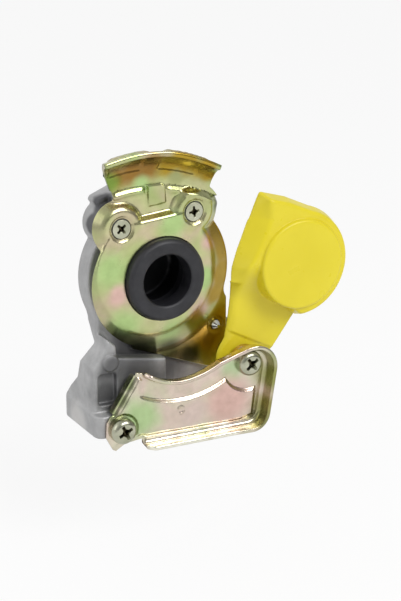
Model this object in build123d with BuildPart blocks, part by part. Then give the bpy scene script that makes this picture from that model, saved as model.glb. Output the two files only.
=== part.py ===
"""Palm coupling head for a trailer air brake line, with its swing lid open.

Millimetres. The origin is the centre of the hose port's mouth, under the casting. The port
points down, the coupling face looks along -Y, and +X is on the right of someone facing it.
"""

from build123d import *
import math
import os

os.makedirs("parts", exist_ok=True)

# Coupling axis, the middle of the seal's face, measured from the hose port's mouth
seal_right = 13.0
seal_ahead = 14.5
seal_up = 57.0

# Hose port, M16 x 1.5 in the underside of the casting
port_thread_radius = 7.25
port_thread_depth = 14.0
port_passage_radius = 4.0

# Face plate, pressed from sheet steel
sheet = 2.0
field_step = 2.3
rim_drop = 5.5
rim_radius = 29.6
field_radius = 24.0
field_shift_x = -3.5
field_shift_z = 3.2
field_top = 24.0
plate_turn = 5.4
lobe_step_radius = 8.6
lobe_rim_radius = 11.6
step_round = 0.9

# Face screws, M4 countersunk, on a circle round the seal
face_screw_circle = 27.1
face_screw_spread = 67.1
m4_radius = 2.0
m4_head_radius = 3.75
m4_length = 12.0
m4_dimple_depth = 0.25
m4_dimple_flare = 75.0
m4_play = 0.05

# Claw along the top of the face plate
claw_centre_x = -7.0
claw_centre_z = -26.8
claw_root_radius = 62.8
claw_reach = 10.3
claw_rise = 12.4
claw_left = 13.2
claw_right = 22.4
pocket_depth = 0.7
pocket_margin = 2.4
pocket_left_span = 10.0
pocket_right_span = 14.0

# Pressed lug in the upper field
lug_width = 7.3
lug_low = 28.2
lug_high = 38.8
lug_across = 0.9
lug_rise = 1.8

# Seal ring
seal_radius = 15.8
seal_bore_radius = 10.0
seal_proud = 3.4
seal_back = 10.0
seal_lip_radius = 16.9
seal_lip_back = 4.5
seal_body_radius = 15.0
seal_clearance = 0.2

# Casting
ring_radius = 28.0
ring_back = 16.5
hub_radius = 18.5
hub_back = 24.0
chamber_radius = 12.5
chamber_back = 20.0
seat_boss_radius = 18.6
face_pad_radius = 9.2
block_left = -30.0
block_front = 1.0
block_back = 25.5
block_right = 0.5
slot_front = 4.9
slot_floor = -33.6
collar_height = 9.0
collar_proud = 1.0
collar_right = 6.0
collar_corner = 3.5
pocket_core = 2.5
front_pad_radius = 3.2
front_pad_rise = 0.6
front_pad_x = -23.0
front_pad_z = -29.2
pocket_core_x = -24.4
pocket_core_z = -39.4
pocket_core_width = 7.4
pocket_core_height = 11.6
pocket_core_corner = 1.2
hub_round = 3.0
spine_radius = 7.0
arm_back = 20.0

# Guard plate, pressed from sheet steel
guard_sheet = 1.5
guard_back = 5.7
guard_depth = 6.8
guard_arc_clearance = 4.25
guard_flare = 1.4
guard_field_rise = 1.0
guard_field_wall = 1.2
guard_field_setback = 6.5
guard_pad_clearance = 5.4
guard_seat_radius = 6.3
guard_turn_back = 3.0
guard_screw_x = -21.6
guard_screw_z = -53.7

# Lid pivot and M5 pan-head screws
pivot_x = 31.8
pivot_z = -35.9
m5_radius = 2.5
m5_head_radius = 5.0
m5_head_height = 3.7
m5_thread_depth = 9.0
pivot_boss_radius = 9.5
bush_radius = 4.0
bush_head_radius = 5.3
bush_fit = 0.06
bush_bore_clearance = 0.12
washer_radius = 6.4
washer_thickness = 0.8
screw_fit = 0.04
recess_length = 5.2
recess_width = 1.1

# Lid
lid_barrel_radius = 6.4
lid_arm_end_radius = 11.0
lid_arm_front = 2.5
lid_arm_back = 0.4
lid_running_gap = 0.4
lid_arm_slant = 3.0
lid_wing_back = ((37.4, 29.8), (31.2, 16.4), (25.0, -2.5))
lid_wing_front = ((39.8, 27.0), (39.4, 17.5), (30.4, 1.4))
lid_cap_back = 3.8
lid_cap_front = 10.0
lid_disc_front = 11.8
lid_disc_radius = 17.2
lid_disc_x = 52.9
lid_disc_z = 0.9
lid_rim_radius = 20.4
lid_rim_flare = 1.4
lid_wall = 2.3
lid_seal_clearance = 0.7
lid_shoulder_front = 6.0
lid_pad_radius = 11.5

# Detent in the tail of the face plate
detent_x = 24.8
detent_z = -23.6
detent_tip_radius = 1.9
detent_shoulder_radius = 3.0
detent_clearance = 0.15
detent_bore_depth = 11.0
detent_tip_out = 2.0
detent_shoulder_height = 2.0
detent_wire_radius = 0.35
detent_turns = 5.5

# Places that follow from the sizes above
port_level = -seal_up
tail_back = rim_drop + sheet
pad_back = field_step + sheet
screw_angles = [90 + plate_turn + side * face_screw_spread / 2 for side in (1, -1)]
face_screws = [
    (face_screw_circle * math.cos(math.radians(a)), face_screw_circle * math.sin(math.radians(a)))
    for a in screw_angles
]
pivot = (pivot_x, pivot_z)
guard_front = guard_back + guard_sheet
guard_arc_radius = math.hypot(pivot_x, pivot_z) - m5_head_radius - guard_sheet - guard_arc_clearance
guard_field_radius = guard_arc_radius + guard_sheet + guard_field_setback
guard_pad_radius = m5_head_radius + guard_pad_clearance
bush_bore_radius = m5_radius + bush_bore_clearance
lid_barrel_back = washer_thickness + lid_running_gap - tail_back


def ahead(height):
    """Plane parallel to the coupling face, this far in front of the plate's raised field."""
    origin = (seal_right, -seal_ahead - height, seal_up)
    return Plane(origin=origin, x_dir=(1, 0, 0), z_dir=(0, -1, 0))


def polar(centre, radius, degrees):
    """Point on a circle, its angle counted from +X towards +Z."""
    turn = math.radians(degrees)
    return (centre[0] + radius * math.cos(turn), centre[1] + radius * math.sin(turn))


def tail_outline():
    """Lower right tail of the face plate, cut round the lid's barrel."""
    with BuildSketch() as tail:
        with BuildLine():
            Polyline((0, -20), (-11, -27.4), (22, -40), (30, -38), (29.3, -13), (22, 0), close=True)
        make_face()
        with Locations(pivot):
            Circle(lid_barrel_radius + lid_running_gap, mode=Mode.SUBTRACT)
        Circle(rim_radius - sheet, mode=Mode.SUBTRACT)
    return tail.sketch


def upper_outline(inset):
    """Upper field, from behind the lobes up to the root of the claw."""
    claw = (claw_centre_x, claw_centre_z)
    root = claw_root_radius + inset
    arc = [polar(claw, root, 90 + a) for a in (claw_left, 0, -claw_right)]
    with BuildSketch() as field:
        with BuildLine():
            ThreePointArc(*arc)
            Polyline(arc[2], (field_shift_x + 12, 0), (field_shift_x - 12, 0), arc[0])
        make_face()
        with Locations(*face_screws):
            Circle(lobe_rim_radius - inset)
    return field.sketch


def sheet_form(inset):
    """Everything behind the pressed sheet's front, or behind its back for an inset of one sheet."""
    cut_height = 20.0
    cut_middle = polar((0, 0), field_top - inset + cut_height / 2, 90 + plate_turn)
    with BuildPart() as form:
        # Skewed cone from the rim up to the raised field
        with BuildSketch(ahead(-rim_drop - inset)):
            Circle(rim_radius - inset)
        with BuildSketch(ahead(-inset)):
            with Locations((field_shift_x, field_shift_z)):
                Circle(field_radius - inset / 4)
        loft(ruled=True)
        # The raised field stops at a straight step below the claw
        with BuildSketch(ahead(-field_step - inset)):
            with Locations(cut_middle):
                Rectangle(3 * rim_radius, cut_height, rotation=plate_turn)
        extrude(amount=2 * rim_drop, mode=Mode.SUBTRACT)
        # Lobes round the face screws
        with BuildSketch(ahead(-rim_drop)):
            with Locations(*face_screws):
                Circle(lobe_step_radius - inset)
        extrude(amount=rim_drop - inset)
        fillet(
            form.edges().filter_by(lambda e: abs(e.center().Y + seal_ahead - inset) < 0.01),
            radius=step_round,
        )
        with BuildSketch(ahead(-field_step - inset)):
            add(upper_outline(inset))
        extrude(amount=field_step + inset - tail_back)
        with BuildSketch(ahead(-rim_drop)):
            Circle(rim_radius - inset)
        extrude(amount=-sheet)
    return form.part


def claw_plane(degrees):
    """Plane through the claw's own axis, turned left from straight up; local X runs outwards."""
    turn = math.radians(degrees)
    origin = (seal_right + claw_centre_x, -seal_ahead, seal_up + claw_centre_z)
    return Plane(
        origin=origin,
        x_dir=(-math.sin(turn), 0, math.cos(turn)),
        z_dir=(math.cos(turn), 0, math.sin(turn)),
    )


def claw_band(inner, outer, first, size):
    """Part of the claw's quarter bend, between two depths behind its inner face."""
    centre = (claw_root_radius, claw_reach - field_step)
    with BuildSketch() as band:
        with BuildLine():
            near = EllipticalCenterArc(
                centre, claw_rise + inner, claw_reach + inner, start_angle=first, arc_size=size
            )
            far = EllipticalCenterArc(
                centre, claw_rise + outer, claw_reach + outer, start_angle=first, arc_size=size
            )
            Line(near @ 0, far @ 0)
            Line(near @ 1, far @ 1)
        make_face()
    return band.sketch


def guard_outline(flare, inset):
    """Outline of the guard plate: its upper right corner moves out along the flange."""
    top_left = (-14.5 + inset, -31.6 - inset)
    arc_start = polar((0, 0), guard_arc_radius + inset, 258)
    arc_middle = polar((0, 0), guard_arc_radius + inset, 275)
    arc_end = polar((0, 0), guard_arc_radius + inset, 298)
    right_top = (42.0 + flare - inset, -26.5 - inset)
    right_low = (36.4 + flare / 3 - inset, -63.0 + inset)
    foot_left = (-12.5, -60.4 + inset)
    with BuildSketch() as outline:
        with BuildLine():
            Line(top_left, arc_start)
            ThreePointArc(arc_start, arc_middle, arc_end)
            Polyline(arc_end, right_top, right_low, foot_left, (-27.5, -50.5), top_left)
        make_face()
        corners = outline.vertices().sort_by(Axis.X)
        fillet(corners[-1], radius=8 - inset)
        fillet(corners[-2], radius=6 - inset)
    return outline.sketch


def guard_field(inset):
    """Raised field of the guard plate, an arc above it and a round seat left for each screw."""
    field_arc = [polar((0, 0), guard_field_radius + inset, a) for a in (252 + inset, 275, 296 - inset)]
    pivot_arc = [polar(pivot, guard_pad_radius + inset, a) for a in (206, 236, 262)]
    with BuildSketch() as field:
        with BuildLine():
            ThreePointArc(*field_arc)
            Line(field_arc[-1], pivot_arc[0])
            ThreePointArc(*pivot_arc)
            Polyline(
                pivot_arc[-1],
                (35.4 - inset, -47.4 - inset),
                (33.4 - inset, -58.6 + inset),
                (-13, -57.4 + inset),
                (-20.5, -58.6 + inset),
                (-24.0 + inset / 2, -60.4 + 2 * inset),
                (-26.4 + inset, -55.9),
                (-26.2 + inset, -50.9),
                (-14.6 + inset / 2, -33.8 - inset),
                (-13.4, -35.2 - inset),
                field_arc[0],
            )
        make_face()
        with Locations((guard_screw_x, guard_screw_z)):
            Circle(guard_seat_radius + inset, mode=Mode.SUBTRACT)
    return field.sketch


def cap_outline(wing, flare):
    """Outline of the lid's cap: the wing's curve on the left, a round rim on the right."""
    disc = (lid_disc_x, lid_disc_z)
    rim = lid_rim_radius + flare
    rim_arc = [polar(disc, rim, a) for a in (74, 0, -88)]
    waist_arc = [polar(disc, lid_disc_radius, a) for a in (-108, -140, -172)]
    with BuildSketch() as outline:
        with BuildLine():
            Line(wing[0], rim_arc[0])
            ThreePointArc(*rim_arc)
            Line(rim_arc[-1], waist_arc[0])
            ThreePointArc(*waist_arc)
            Line(waist_arc[-1], wing[-1])
            ThreePointArc(wing[-1], wing[1], wing[0])
        make_face()
    return outline.sketch


def arm_outline(slant):
    """Outline of the lid's arm, its left edge moved in by the slant of its side."""
    with BuildSketch() as outline:
        with BuildLine():
            Polyline(
                (22.2 + slant / 2, -36), (24.2 + slant, -27.0), (26.2 + slant, -14.0), (27.0 + slant, -5.0),
                (26.9 + slant, 1), (44, 10), (60, -14), (54.6, -21.6), (45.2, -34), (40, -42),
                close=True,
            )
        make_face()
        with Locations(pivot):
            Circle(lid_arm_end_radius - slant / 6)
    return outline.sketch


# Seal ring: rubber, pushed in from the front and held by its lip behind the plate
with BuildPart() as seal_ring:
    section = Plane(origin=(seal_right, -seal_ahead, seal_up), x_dir=(1, 0, 0), z_dir=(0, 0, -1))
    with BuildSketch(section):
        with BuildLine():
            Polyline(
                (seal_bore_radius + 0.8, seal_proud),
                (seal_radius - 1.8, seal_proud),
                (seal_radius, seal_proud - 1.8),
                (seal_radius, -sheet),
                (seal_lip_radius, -sheet),
                (seal_lip_radius, -seal_lip_back),
                (seal_body_radius, -seal_lip_back),
                (seal_body_radius, -seal_back),
                (seal_bore_radius + 1.0, -seal_back),
                (seal_bore_radius + 2.2, 2.5 - seal_back),
                (seal_bore_radius + 2.2, seal_proud - 4.5),
                (seal_bore_radius, seal_proud - 3.0),
                (seal_bore_radius, seal_proud - 0.8),
                close=True,
            )
        make_face()
    revolve(axis=Axis((seal_right, -seal_ahead, seal_up), (0, 1, 0)))
seal_ring.part.label = "seal_ring"
export_step(seal_ring.part, "parts/seal_ring.step")


# Face plate: one pressed sheet with its claw, its raised field and its tail
with BuildPart() as face_plate:
    add(sheet_form(0))
    add(sheet_form(sheet), mode=Mode.SUBTRACT)
    with BuildSketch(ahead(-rim_drop)):
        add(tail_outline())
    extrude(amount=-sheet)
    # Claw, bent forward along the top
    claw_axis = Axis(claw_plane(0).origin, (0, 1, 0))
    with BuildSketch(claw_plane(claw_left)):
        add(claw_band(0, sheet, -90, 90))
    revolve(axis=claw_axis, revolution_arc=claw_left + claw_right)
    # Two shallow pockets coined into its inner face
    for first, sweep_angle in ((claw_left - pocket_margin, pocket_left_span), (-pocket_margin, pocket_right_span)):
        with BuildSketch(claw_plane(first)):
            add(claw_band(0, pocket_depth, -52, 38))
        revolve(axis=claw_axis, revolution_arc=sweep_angle, mode=Mode.SUBTRACT)
    # Lug below the claw, steep at its top
    lug_foot = polar((0, 0), lug_across, plate_turn)
    lug_side = Plane(
        origin=(seal_right + lug_foot[0], -seal_ahead, seal_up + lug_foot[1]),
        x_dir=(-math.sin(math.radians(plate_turn)), 0, math.cos(math.radians(plate_turn))),
        z_dir=(math.cos(math.radians(plate_turn)), 0, math.sin(math.radians(plate_turn))),
    )
    with BuildSketch(lug_side):
        with BuildLine():
            Polyline(
                (lug_low, -pad_back + sheet / 2),
                (lug_low + 0.5, -field_step + lug_rise / 4),
                (lug_high - 0.5, -field_step + lug_rise),
                (lug_high, -pad_back + sheet / 2),
                close=True,
            )
        make_face()
    extrude(amount=lug_width / 2, both=True)
    # Opening for the seal and the detent
    with BuildSketch(ahead(1)):
        Circle(seal_radius + seal_clearance)
        with Locations((detent_x, detent_z)):
            Circle(detent_tip_radius + detent_clearance)
    extrude(amount=-2 * tail_back, mode=Mode.SUBTRACT)
    # Dimples and countersinks for the face screws
    with BuildSketch(ahead(-m4_dimple_depth)):
        with Locations(*face_screws):
            Circle(m4_head_radius + m4_play)
    extrude(amount=2 * m4_dimple_depth, taper=-m4_dimple_flare, mode=Mode.SUBTRACT)
    with BuildSketch(ahead(-m4_dimple_depth)):
        with Locations(*face_screws):
            Circle(m4_head_radius + m4_play)
    extrude(amount=-(m4_head_radius - m4_radius), taper=45, mode=Mode.SUBTRACT)
    with BuildSketch(ahead(-m4_dimple_depth)):
        with Locations(*face_screws):
            Circle(m4_radius + m4_play)
    extrude(amount=-2 * tail_back, mode=Mode.SUBTRACT)
face_plate.part.label = "face_plate"
export_step(face_plate.part, "parts/face_plate.step")


# Casting: ring housing, hub, vertical air passage, block with the port, and the lid's arm
with BuildPart() as body_casting:
    # Block: front wall with its ledge, a slot behind it, and the body of the block
    front_layers = (
        (block_front, slot_front, -30.8, -27.4),
        (slot_front, tail_back, slot_floor, slot_floor),
    )
    for near, far, ledge_right, ledge_left in front_layers:
        with BuildSketch(ahead(near if near == block_front else -near)):
            with BuildLine():
                Polyline(
                    (-24.0, -19.6),
                    (-24.6, -23.5),
                    (block_left, -31),
                    (block_left, port_level),
                    (block_right, port_level),
                    (block_right, ledge_right),
                    (-20, ledge_left),
                    (-20.4, -22.7),
                    close=True,
                )
            make_face()
        extrude(amount=-(far + near) if near == block_front else near - far)
    with BuildSketch(ahead(-tail_back)):
        with BuildLine():
            Polyline(
                (-24.0, -8),
                (-24.6, -23.5),
                (block_left, -31),
                (block_left, port_level),
                (8, port_level),
                (8, -14),
                close=True,
            )
        make_face()
    extrude(amount=tail_back - block_back)
    # The rear of the block slopes in towards the ring
    with BuildSketch(Plane(origin=(seal_right, -seal_ahead, seal_up), x_dir=(0, 1, 0), z_dir=(1, 0, 0))):
        with BuildLine():
            Polyline(
                (hub_back + 5, 0),
                (ring_back, 0),
                (ring_back, -17),
                (9.5, -24),
                (12, -31),
                (14.5, -38),
                (21, -43.5),
                (block_back, collar_height + port_level),
                (hub_back + 5, collar_height + port_level),
                close=True,
            )
        make_face()
    extrude(amount=2 * ring_radius, both=True, mode=Mode.SUBTRACT)
    # Ring housing and hub
    with BuildSketch(ahead(-tail_back)):
        Circle(ring_radius)
    extrude(amount=tail_back - ring_back)
    with BuildSketch(ahead(-ring_back)):
        Circle(hub_radius)
    extrude(amount=ring_back - hub_back)
    fillet(body_casting.edges().group_by(Axis.Y)[-1], radius=hub_round)
    # Boss round the seal and pads under the two face screws
    with BuildSketch(ahead(-sheet)):
        Circle(seat_boss_radius)
        with Locations(*face_screws):
            Circle(lobe_step_radius - sheet - step_round)
    extrude(amount=sheet - ring_back)
    # Pad behind the upper field, with two grip fins on its left
    with BuildSketch(ahead(-pad_back)):
        with Locations(*face_screws):
            Circle(face_pad_radius)
        with BuildLine():
            Polyline((-20, 12), (-18.5, 33), (14, 33.5), (20, 12), close=True)
        make_face()
    extrude(amount=pad_back - ring_back)
    with BuildSketch(ahead(-tail_back)):
        with BuildLine():
            Polyline((-12, 35.5), (-24.6, 31.4), (-25.4, 29.6), (-22.2, 26.6), (-12, 20), close=True)
        make_face()
        with BuildLine():
            Polyline((-18, 28), (-26.6, 23.2), (-27.2, 21.2), (-23.6, 18.4), (-14, 12), close=True)
        make_face()
    extrude(amount=tail_back - ring_back + 1)
    # Arm out to the lid's pivot and the detent
    with BuildSketch(ahead(-tail_back)):
        with BuildLine():
            Polyline(
                (-4, -20), (20, -12), (27.5, -14.5), (29, -20), (38.5, -29.5), (41, -36), (36, -44.5),
                (24, -47), (8, -52), (-4, -52), close=True,
            )
        make_face()
        with Locations(pivot):
            Circle(pivot_boss_radius)
    extrude(amount=tail_back - arm_back)
    # Collar at the foot and the vertical passage housing
    with BuildSketch(Plane(origin=(seal_right, -seal_ahead, 0))):
        with Locations(((block_left - collar_proud + collar_right) / 2, (block_back - guard_back) / 2)):
            RectangleRounded(collar_right - block_left + collar_proud, block_back + guard_back, collar_corner)
    extrude(amount=collar_height)
    with BuildSketch(Plane.XY):
        Circle(spine_radius)
    extrude(amount=seal_up)
    # Seat for the seal, chamber behind it, and the passage down to the port
    for depth, radius in (
        (seal_lip_back, seal_lip_radius + seal_clearance),
        (seal_back, seal_body_radius + seal_clearance),
        (chamber_back, chamber_radius),
    ):
        with BuildSketch(ahead(0)):
            Circle(radius)
        extrude(amount=-depth, mode=Mode.SUBTRACT)
    with BuildSketch(Plane.XY):
        Circle(port_thread_radius)
    extrude(amount=port_thread_depth, mode=Mode.SUBTRACT)
    with BuildSketch(Plane.XY):
        Circle(port_passage_radius)
    extrude(amount=seal_up, mode=Mode.SUBTRACT)
    # Cored pocket and round pad on the front wall
    with BuildSketch(ahead(block_front)):
        with Locations((pocket_core_x, pocket_core_z)):
            RectangleRounded(pocket_core_width, pocket_core_height, pocket_core_corner)
    extrude(amount=-pocket_core, mode=Mode.SUBTRACT)
    with BuildSketch(ahead(block_front)):
        with Locations((front_pad_x, front_pad_z)):
            Circle(front_pad_radius)
    extrude(amount=front_pad_rise)
    # Tapped holes and the detent's bore
    with BuildSketch(ahead(-sheet)):
        with Locations(*face_screws):
            Circle(m4_radius + screw_fit)
    extrude(amount=-(m4_length - sheet + 1), mode=Mode.SUBTRACT)
    with BuildSketch(ahead(guard_back)):
        with Locations((guard_screw_x, guard_screw_z)):
            Circle(m5_radius + screw_fit)
    extrude(amount=-(m5_thread_depth + 1), mode=Mode.SUBTRACT)
    with BuildSketch(ahead(-tail_back)):
        with Locations(pivot):
            Circle(m5_radius + screw_fit)
        with Locations((detent_x, detent_z)):
            Circle(detent_shoulder_radius + detent_clearance)
    extrude(amount=-detent_bore_depth, mode=Mode.SUBTRACT)
body_casting.part.label = "body_casting"
export_step(body_casting.part, "parts/body_casting.step")


# Guard plate: a pressed tray with flanges at the top, right and foot
with BuildPart() as guard_plate:
    for near, inset, cut in ((guard_back, 0, Mode.ADD), (guard_front, guard_sheet, Mode.SUBTRACT)):
        with BuildSketch(ahead(near)):
            add(guard_outline(0, inset))
        with BuildSketch(ahead(guard_back + guard_depth)):
            add(guard_outline(guard_flare, inset))
        loft(ruled=True, mode=cut)
    # The left side carries no flange
    with BuildSketch(ahead(guard_front)):
        with BuildLine():
            Polyline((-12.6, -20), (-12.6, -32), (-25, -50), (-12.6, -56.5), (-12.6, -70), (-40, -70),
                     (-40, -20), close=True)
        make_face()
    extrude(amount=guard_depth, mode=Mode.SUBTRACT)
    # Ear round the left screw, ending in a point
    with BuildSketch(ahead(guard_back)):
        with BuildLine():
            Polyline((-27.5, -50.5), (-27.9, -56), (-24.6, -61.8), (-20, -59.6), (-12.4, -58.4),
                     (-14, -48), close=True)
        make_face()
    extrude(amount=guard_sheet)
    # Raised field inside the flanges, clear of both screws
    with BuildSketch(ahead(guard_back)):
        add(guard_field(0))
    extrude(amount=guard_sheet + guard_field_rise)
    with BuildSketch(ahead(guard_back)):
        add(guard_field(guard_field_wall))
    extrude(amount=guard_field_rise, mode=Mode.SUBTRACT)
    # Edge turned back along the slant on the left
    with BuildSketch(ahead(guard_front)):
        with BuildLine():
            Polyline((-14.5, -31.6), (-24.9, -46.7), (-23.7, -47.5), (-13.3, -32.4), close=True)
        make_face()
    extrude(amount=-(guard_sheet + guard_turn_back))
    with BuildSketch(ahead(guard_back)):
        with Locations((guard_screw_x, guard_screw_z), pivot):
            Circle(m5_radius + m4_play)
    extrude(amount=2 * guard_sheet, mode=Mode.SUBTRACT)
guard_plate.part.label = "guard_plate"
export_step(guard_plate.part, "parts/guard_plate.step")


# Lid: a hollow cap on a low arm, with a barrel that turns on the bush
with BuildPart() as lid:
    with BuildSketch(ahead(lid_cap_back)):
        add(cap_outline(lid_wing_back, lid_rim_flare))
    with BuildSketch(ahead(lid_cap_front)):
        add(cap_outline(lid_wing_front, 0))
    loft(ruled=True)
    with BuildSketch(ahead(lid_arm_front)):
        with Locations((lid_disc_x, lid_disc_z)):
            Circle(lid_disc_radius)
    extrude(amount=lid_disc_front - lid_arm_front)
    # Arm, lying just in front of the face plate when the lid is shut
    with BuildSketch(ahead(lid_arm_back)):
        add(arm_outline(0))
    with BuildSketch(ahead(lid_arm_front)):
        add(arm_outline(lid_arm_slant))
    loft(ruled=True)
    # Shoulder that carries the cap from the end of the arm
    with BuildSketch(ahead(lid_arm_back)):
        with BuildLine():
            Polyline((26.6, -11), (25.0, -3), (25.6, 2), (44, 10), (48, -10), (38, -9), close=True)
        make_face()
    with BuildSketch(ahead(lid_shoulder_front)):
        with BuildLine():
            Polyline((28.6, -4), (28.0, 3), (44, 9), (47, -8), (38, -4.6), close=True)
        make_face()
    loft(ruled=True)
    with BuildSketch(ahead(lid_barrel_back)):
        with Locations(pivot):
            Circle(lid_barrel_radius)
    extrude(amount=lid_arm_front - lid_barrel_back)
    # Beyond the arm everything passes in front of the seal
    shut_distance = math.hypot(pivot_x, pivot_z)
    with BuildSketch(ahead(lid_cap_back)):
        with Locations(pivot):
            Circle(2 * shut_distance)
            Circle(shut_distance - seal_radius - lid_seal_clearance, mode=Mode.SUBTRACT)
    extrude(amount=lid_barrel_back - lid_cap_back, mode=Mode.SUBTRACT)
    # Underside of the cap, hollow round a pad that covers the seal when shut
    shut_angle = math.degrees(math.atan2(lid_disc_z - pivot_z, lid_disc_x - pivot_x))
    with BuildSketch(ahead(lid_arm_back)):
        with Locations((lid_disc_x, lid_disc_z)):
            Circle(lid_disc_radius - lid_wall)
    extrude(amount=lid_disc_front - lid_wall - lid_arm_back, mode=Mode.SUBTRACT)
    with BuildSketch(ahead(lid_cap_back)):
        with Locations(polar(pivot, shut_distance, shut_angle)):
            Circle(lid_pad_radius)
    extrude(amount=lid_disc_front - lid_wall - lid_cap_back)
    with BuildSketch(ahead(lid_barrel_back)):
        with Locations(pivot):
            Circle(bush_radius + bush_fit)
    extrude(amount=2 * tail_back, mode=Mode.SUBTRACT)
lid.part.label = "lid"
export_step(lid.part, "parts/lid.step")


# Shoulder bush: the lid turns on its body and its head keeps the lid on
with BuildPart() as pivot_bush:
    with BuildSketch(ahead(-tail_back)):
        with Locations(pivot):
            Circle(bush_radius)
    extrude(amount=tail_back + guard_back)
    with BuildSketch(ahead(lid_arm_front + lid_running_gap)):
        with Locations(pivot):
            Circle(bush_head_radius)
    extrude(amount=guard_back - lid_arm_front - lid_running_gap)
    with BuildSketch(ahead(-tail_back)):
        with Locations(pivot):
            Circle(bush_bore_radius)
    extrude(amount=tail_back + guard_back, mode=Mode.SUBTRACT)
pivot_bush.part.label = "pivot_bush"
export_step(pivot_bush.part, "parts/pivot_bush.step")


# Washer between the casting's arm and the lid's barrel
with BuildPart() as pivot_washer:
    with BuildSketch(ahead(-tail_back)):
        with Locations(pivot):
            Circle(washer_radius)
            Circle(bush_radius + bush_bore_clearance, mode=Mode.SUBTRACT)
    extrude(amount=washer_thickness)
pivot_washer.part.label = "pivot_washer"
export_step(pivot_washer.part, "parts/pivot_washer.step")


# Countersunk face screws, M4 with a cross recess
for name, centre, turn in (
    ("face_screw_left", face_screws[0], 40),
    ("face_screw_right", face_screws[1], 8),
):
    with BuildPart() as face_screw:
        with BuildSketch(ahead(-m4_dimple_depth)):
            with Locations(centre):
                Circle(m4_head_radius)
        extrude(amount=m4_radius - m4_head_radius, taper=45)
        with BuildSketch(ahead(-m4_dimple_depth)):
            with Locations(centre):
                Circle(m4_radius)
        extrude(amount=-m4_length)
        for arm in (turn, turn + 90):
            with BuildSketch(ahead(-m4_dimple_depth)):
                with Locations(centre):
                    Rectangle(recess_length * 0.8, recess_width * 0.85, rotation=arm)
            extrude(amount=-recess_length / 3, taper=10, mode=Mode.SUBTRACT)
    face_screw.part.label = name
    export_step(face_screw.part, f"parts/{name}.step")


# Pan-head screws, M5 with a cross recess: one holds the guard, one is the lid's pivot
for name, centre, length, turn in (
    ("guard_screw", (guard_screw_x, guard_screw_z), guard_sheet + m5_thread_depth, 25),
    ("pivot_screw", pivot, guard_front + tail_back + m5_thread_depth, 40),
):
    with BuildPart() as pan_screw:
        with BuildSketch(ahead(guard_front)):
            with Locations(centre):
                Circle(m5_head_radius)
        extrude(amount=m5_head_height)
        fillet(pan_screw.edges().group_by(Axis.Y)[0], radius=m5_head_height * 0.55)
        with BuildSketch(ahead(guard_front)):
            with Locations(centre):
                Circle(m5_radius)
        extrude(amount=-length)
        for arm in (turn, turn + 90):
            with BuildSketch(ahead(guard_front + m5_head_height)):
                with Locations(centre):
                    Rectangle(recess_length, recess_width, rotation=arm)
            extrude(amount=-recess_length * 0.45, taper=8, mode=Mode.SUBTRACT)
    pan_screw.part.label = name
    export_step(pan_screw.part, f"parts/{name}.step")


# Detent: pointed pin behind the tail of the face plate, and its spring
detent = (detent_x, detent_z)
shoulder_front = tail_back + detent_clearance
with BuildPart() as detent_pin:
    with BuildSketch(ahead(-shoulder_front)):
        with Locations(detent):
            Circle(detent_tip_radius)
    extrude(amount=shoulder_front - rim_drop + detent_tip_out)
    chamfer(detent_pin.edges().group_by(Axis.Y)[0], length=detent_tip_out * 0.9, length2=detent_tip_radius * 0.7)
    with BuildSketch(ahead(-shoulder_front)):
        with Locations(detent):
            Circle(detent_shoulder_radius)
    extrude(amount=-detent_shoulder_height)
detent_pin.part.label = "detent_pin"
export_step(detent_pin.part, "parts/detent_pin.step")

with BuildPart() as detent_spring:
    spring_front = shoulder_front + detent_shoulder_height + detent_wire_radius
    spring_back = tail_back + detent_bore_depth - detent_wire_radius
    spring_centre = ahead(-spring_back).from_local_coords((detent_x, detent_z, 0))
    coil_radius = detent_shoulder_radius - 2 * detent_wire_radius
    with BuildLine():
        coil = Helix(
            pitch=(spring_back - spring_front) / detent_turns,
            height=spring_back - spring_front,
            radius=coil_radius,
            center=spring_centre,
            direction=(0, -1, 0),
        )
    with BuildSketch(Plane(origin=coil @ 0, z_dir=coil % 0)):
        Circle(detent_wire_radius)
    sweep()
detent_spring.part.label = "detent_spring"
export_step(detent_spring.part, "parts/detent_spring.step")
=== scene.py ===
"""Looks of the palm coupling head with its swing lid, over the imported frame."""
import math

import bmesh
import bpy
import numpy as np
from mathutils import Matrix, Vector


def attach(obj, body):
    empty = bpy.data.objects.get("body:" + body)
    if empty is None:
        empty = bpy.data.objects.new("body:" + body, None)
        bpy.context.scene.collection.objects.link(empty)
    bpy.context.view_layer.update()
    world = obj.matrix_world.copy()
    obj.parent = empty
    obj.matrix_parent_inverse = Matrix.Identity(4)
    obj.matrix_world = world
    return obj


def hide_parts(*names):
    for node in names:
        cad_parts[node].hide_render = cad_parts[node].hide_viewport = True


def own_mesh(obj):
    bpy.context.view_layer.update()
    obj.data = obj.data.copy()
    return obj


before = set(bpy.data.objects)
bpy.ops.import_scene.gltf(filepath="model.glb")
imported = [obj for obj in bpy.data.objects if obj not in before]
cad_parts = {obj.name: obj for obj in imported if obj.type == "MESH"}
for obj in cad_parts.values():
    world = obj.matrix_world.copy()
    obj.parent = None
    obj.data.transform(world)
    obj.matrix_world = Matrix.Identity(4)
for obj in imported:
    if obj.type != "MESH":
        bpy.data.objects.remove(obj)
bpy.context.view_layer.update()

# Where the frame holds the seal's axis and the raised field's front, in mm
AXIS_X, FIELD_Y, AXIS_Z = 13, -14.5, 57


def row(points):
    """Points given as X, F, Z in mm, in the frame's own axes in metres."""
    p = np.asarray(points, float)
    return np.stack([p[:, 0] + AXIS_X, FIELD_Y - p[:, 1], p[:, 2] + AXIS_Z], 1) / 1000


def around(centre, radius, angle):
    """The point of a circle at an angle in degrees."""
    turn = math.radians(angle)
    return centre[0] + radius * math.cos(turn), centre[1] + radius * math.sin(turn)


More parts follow.
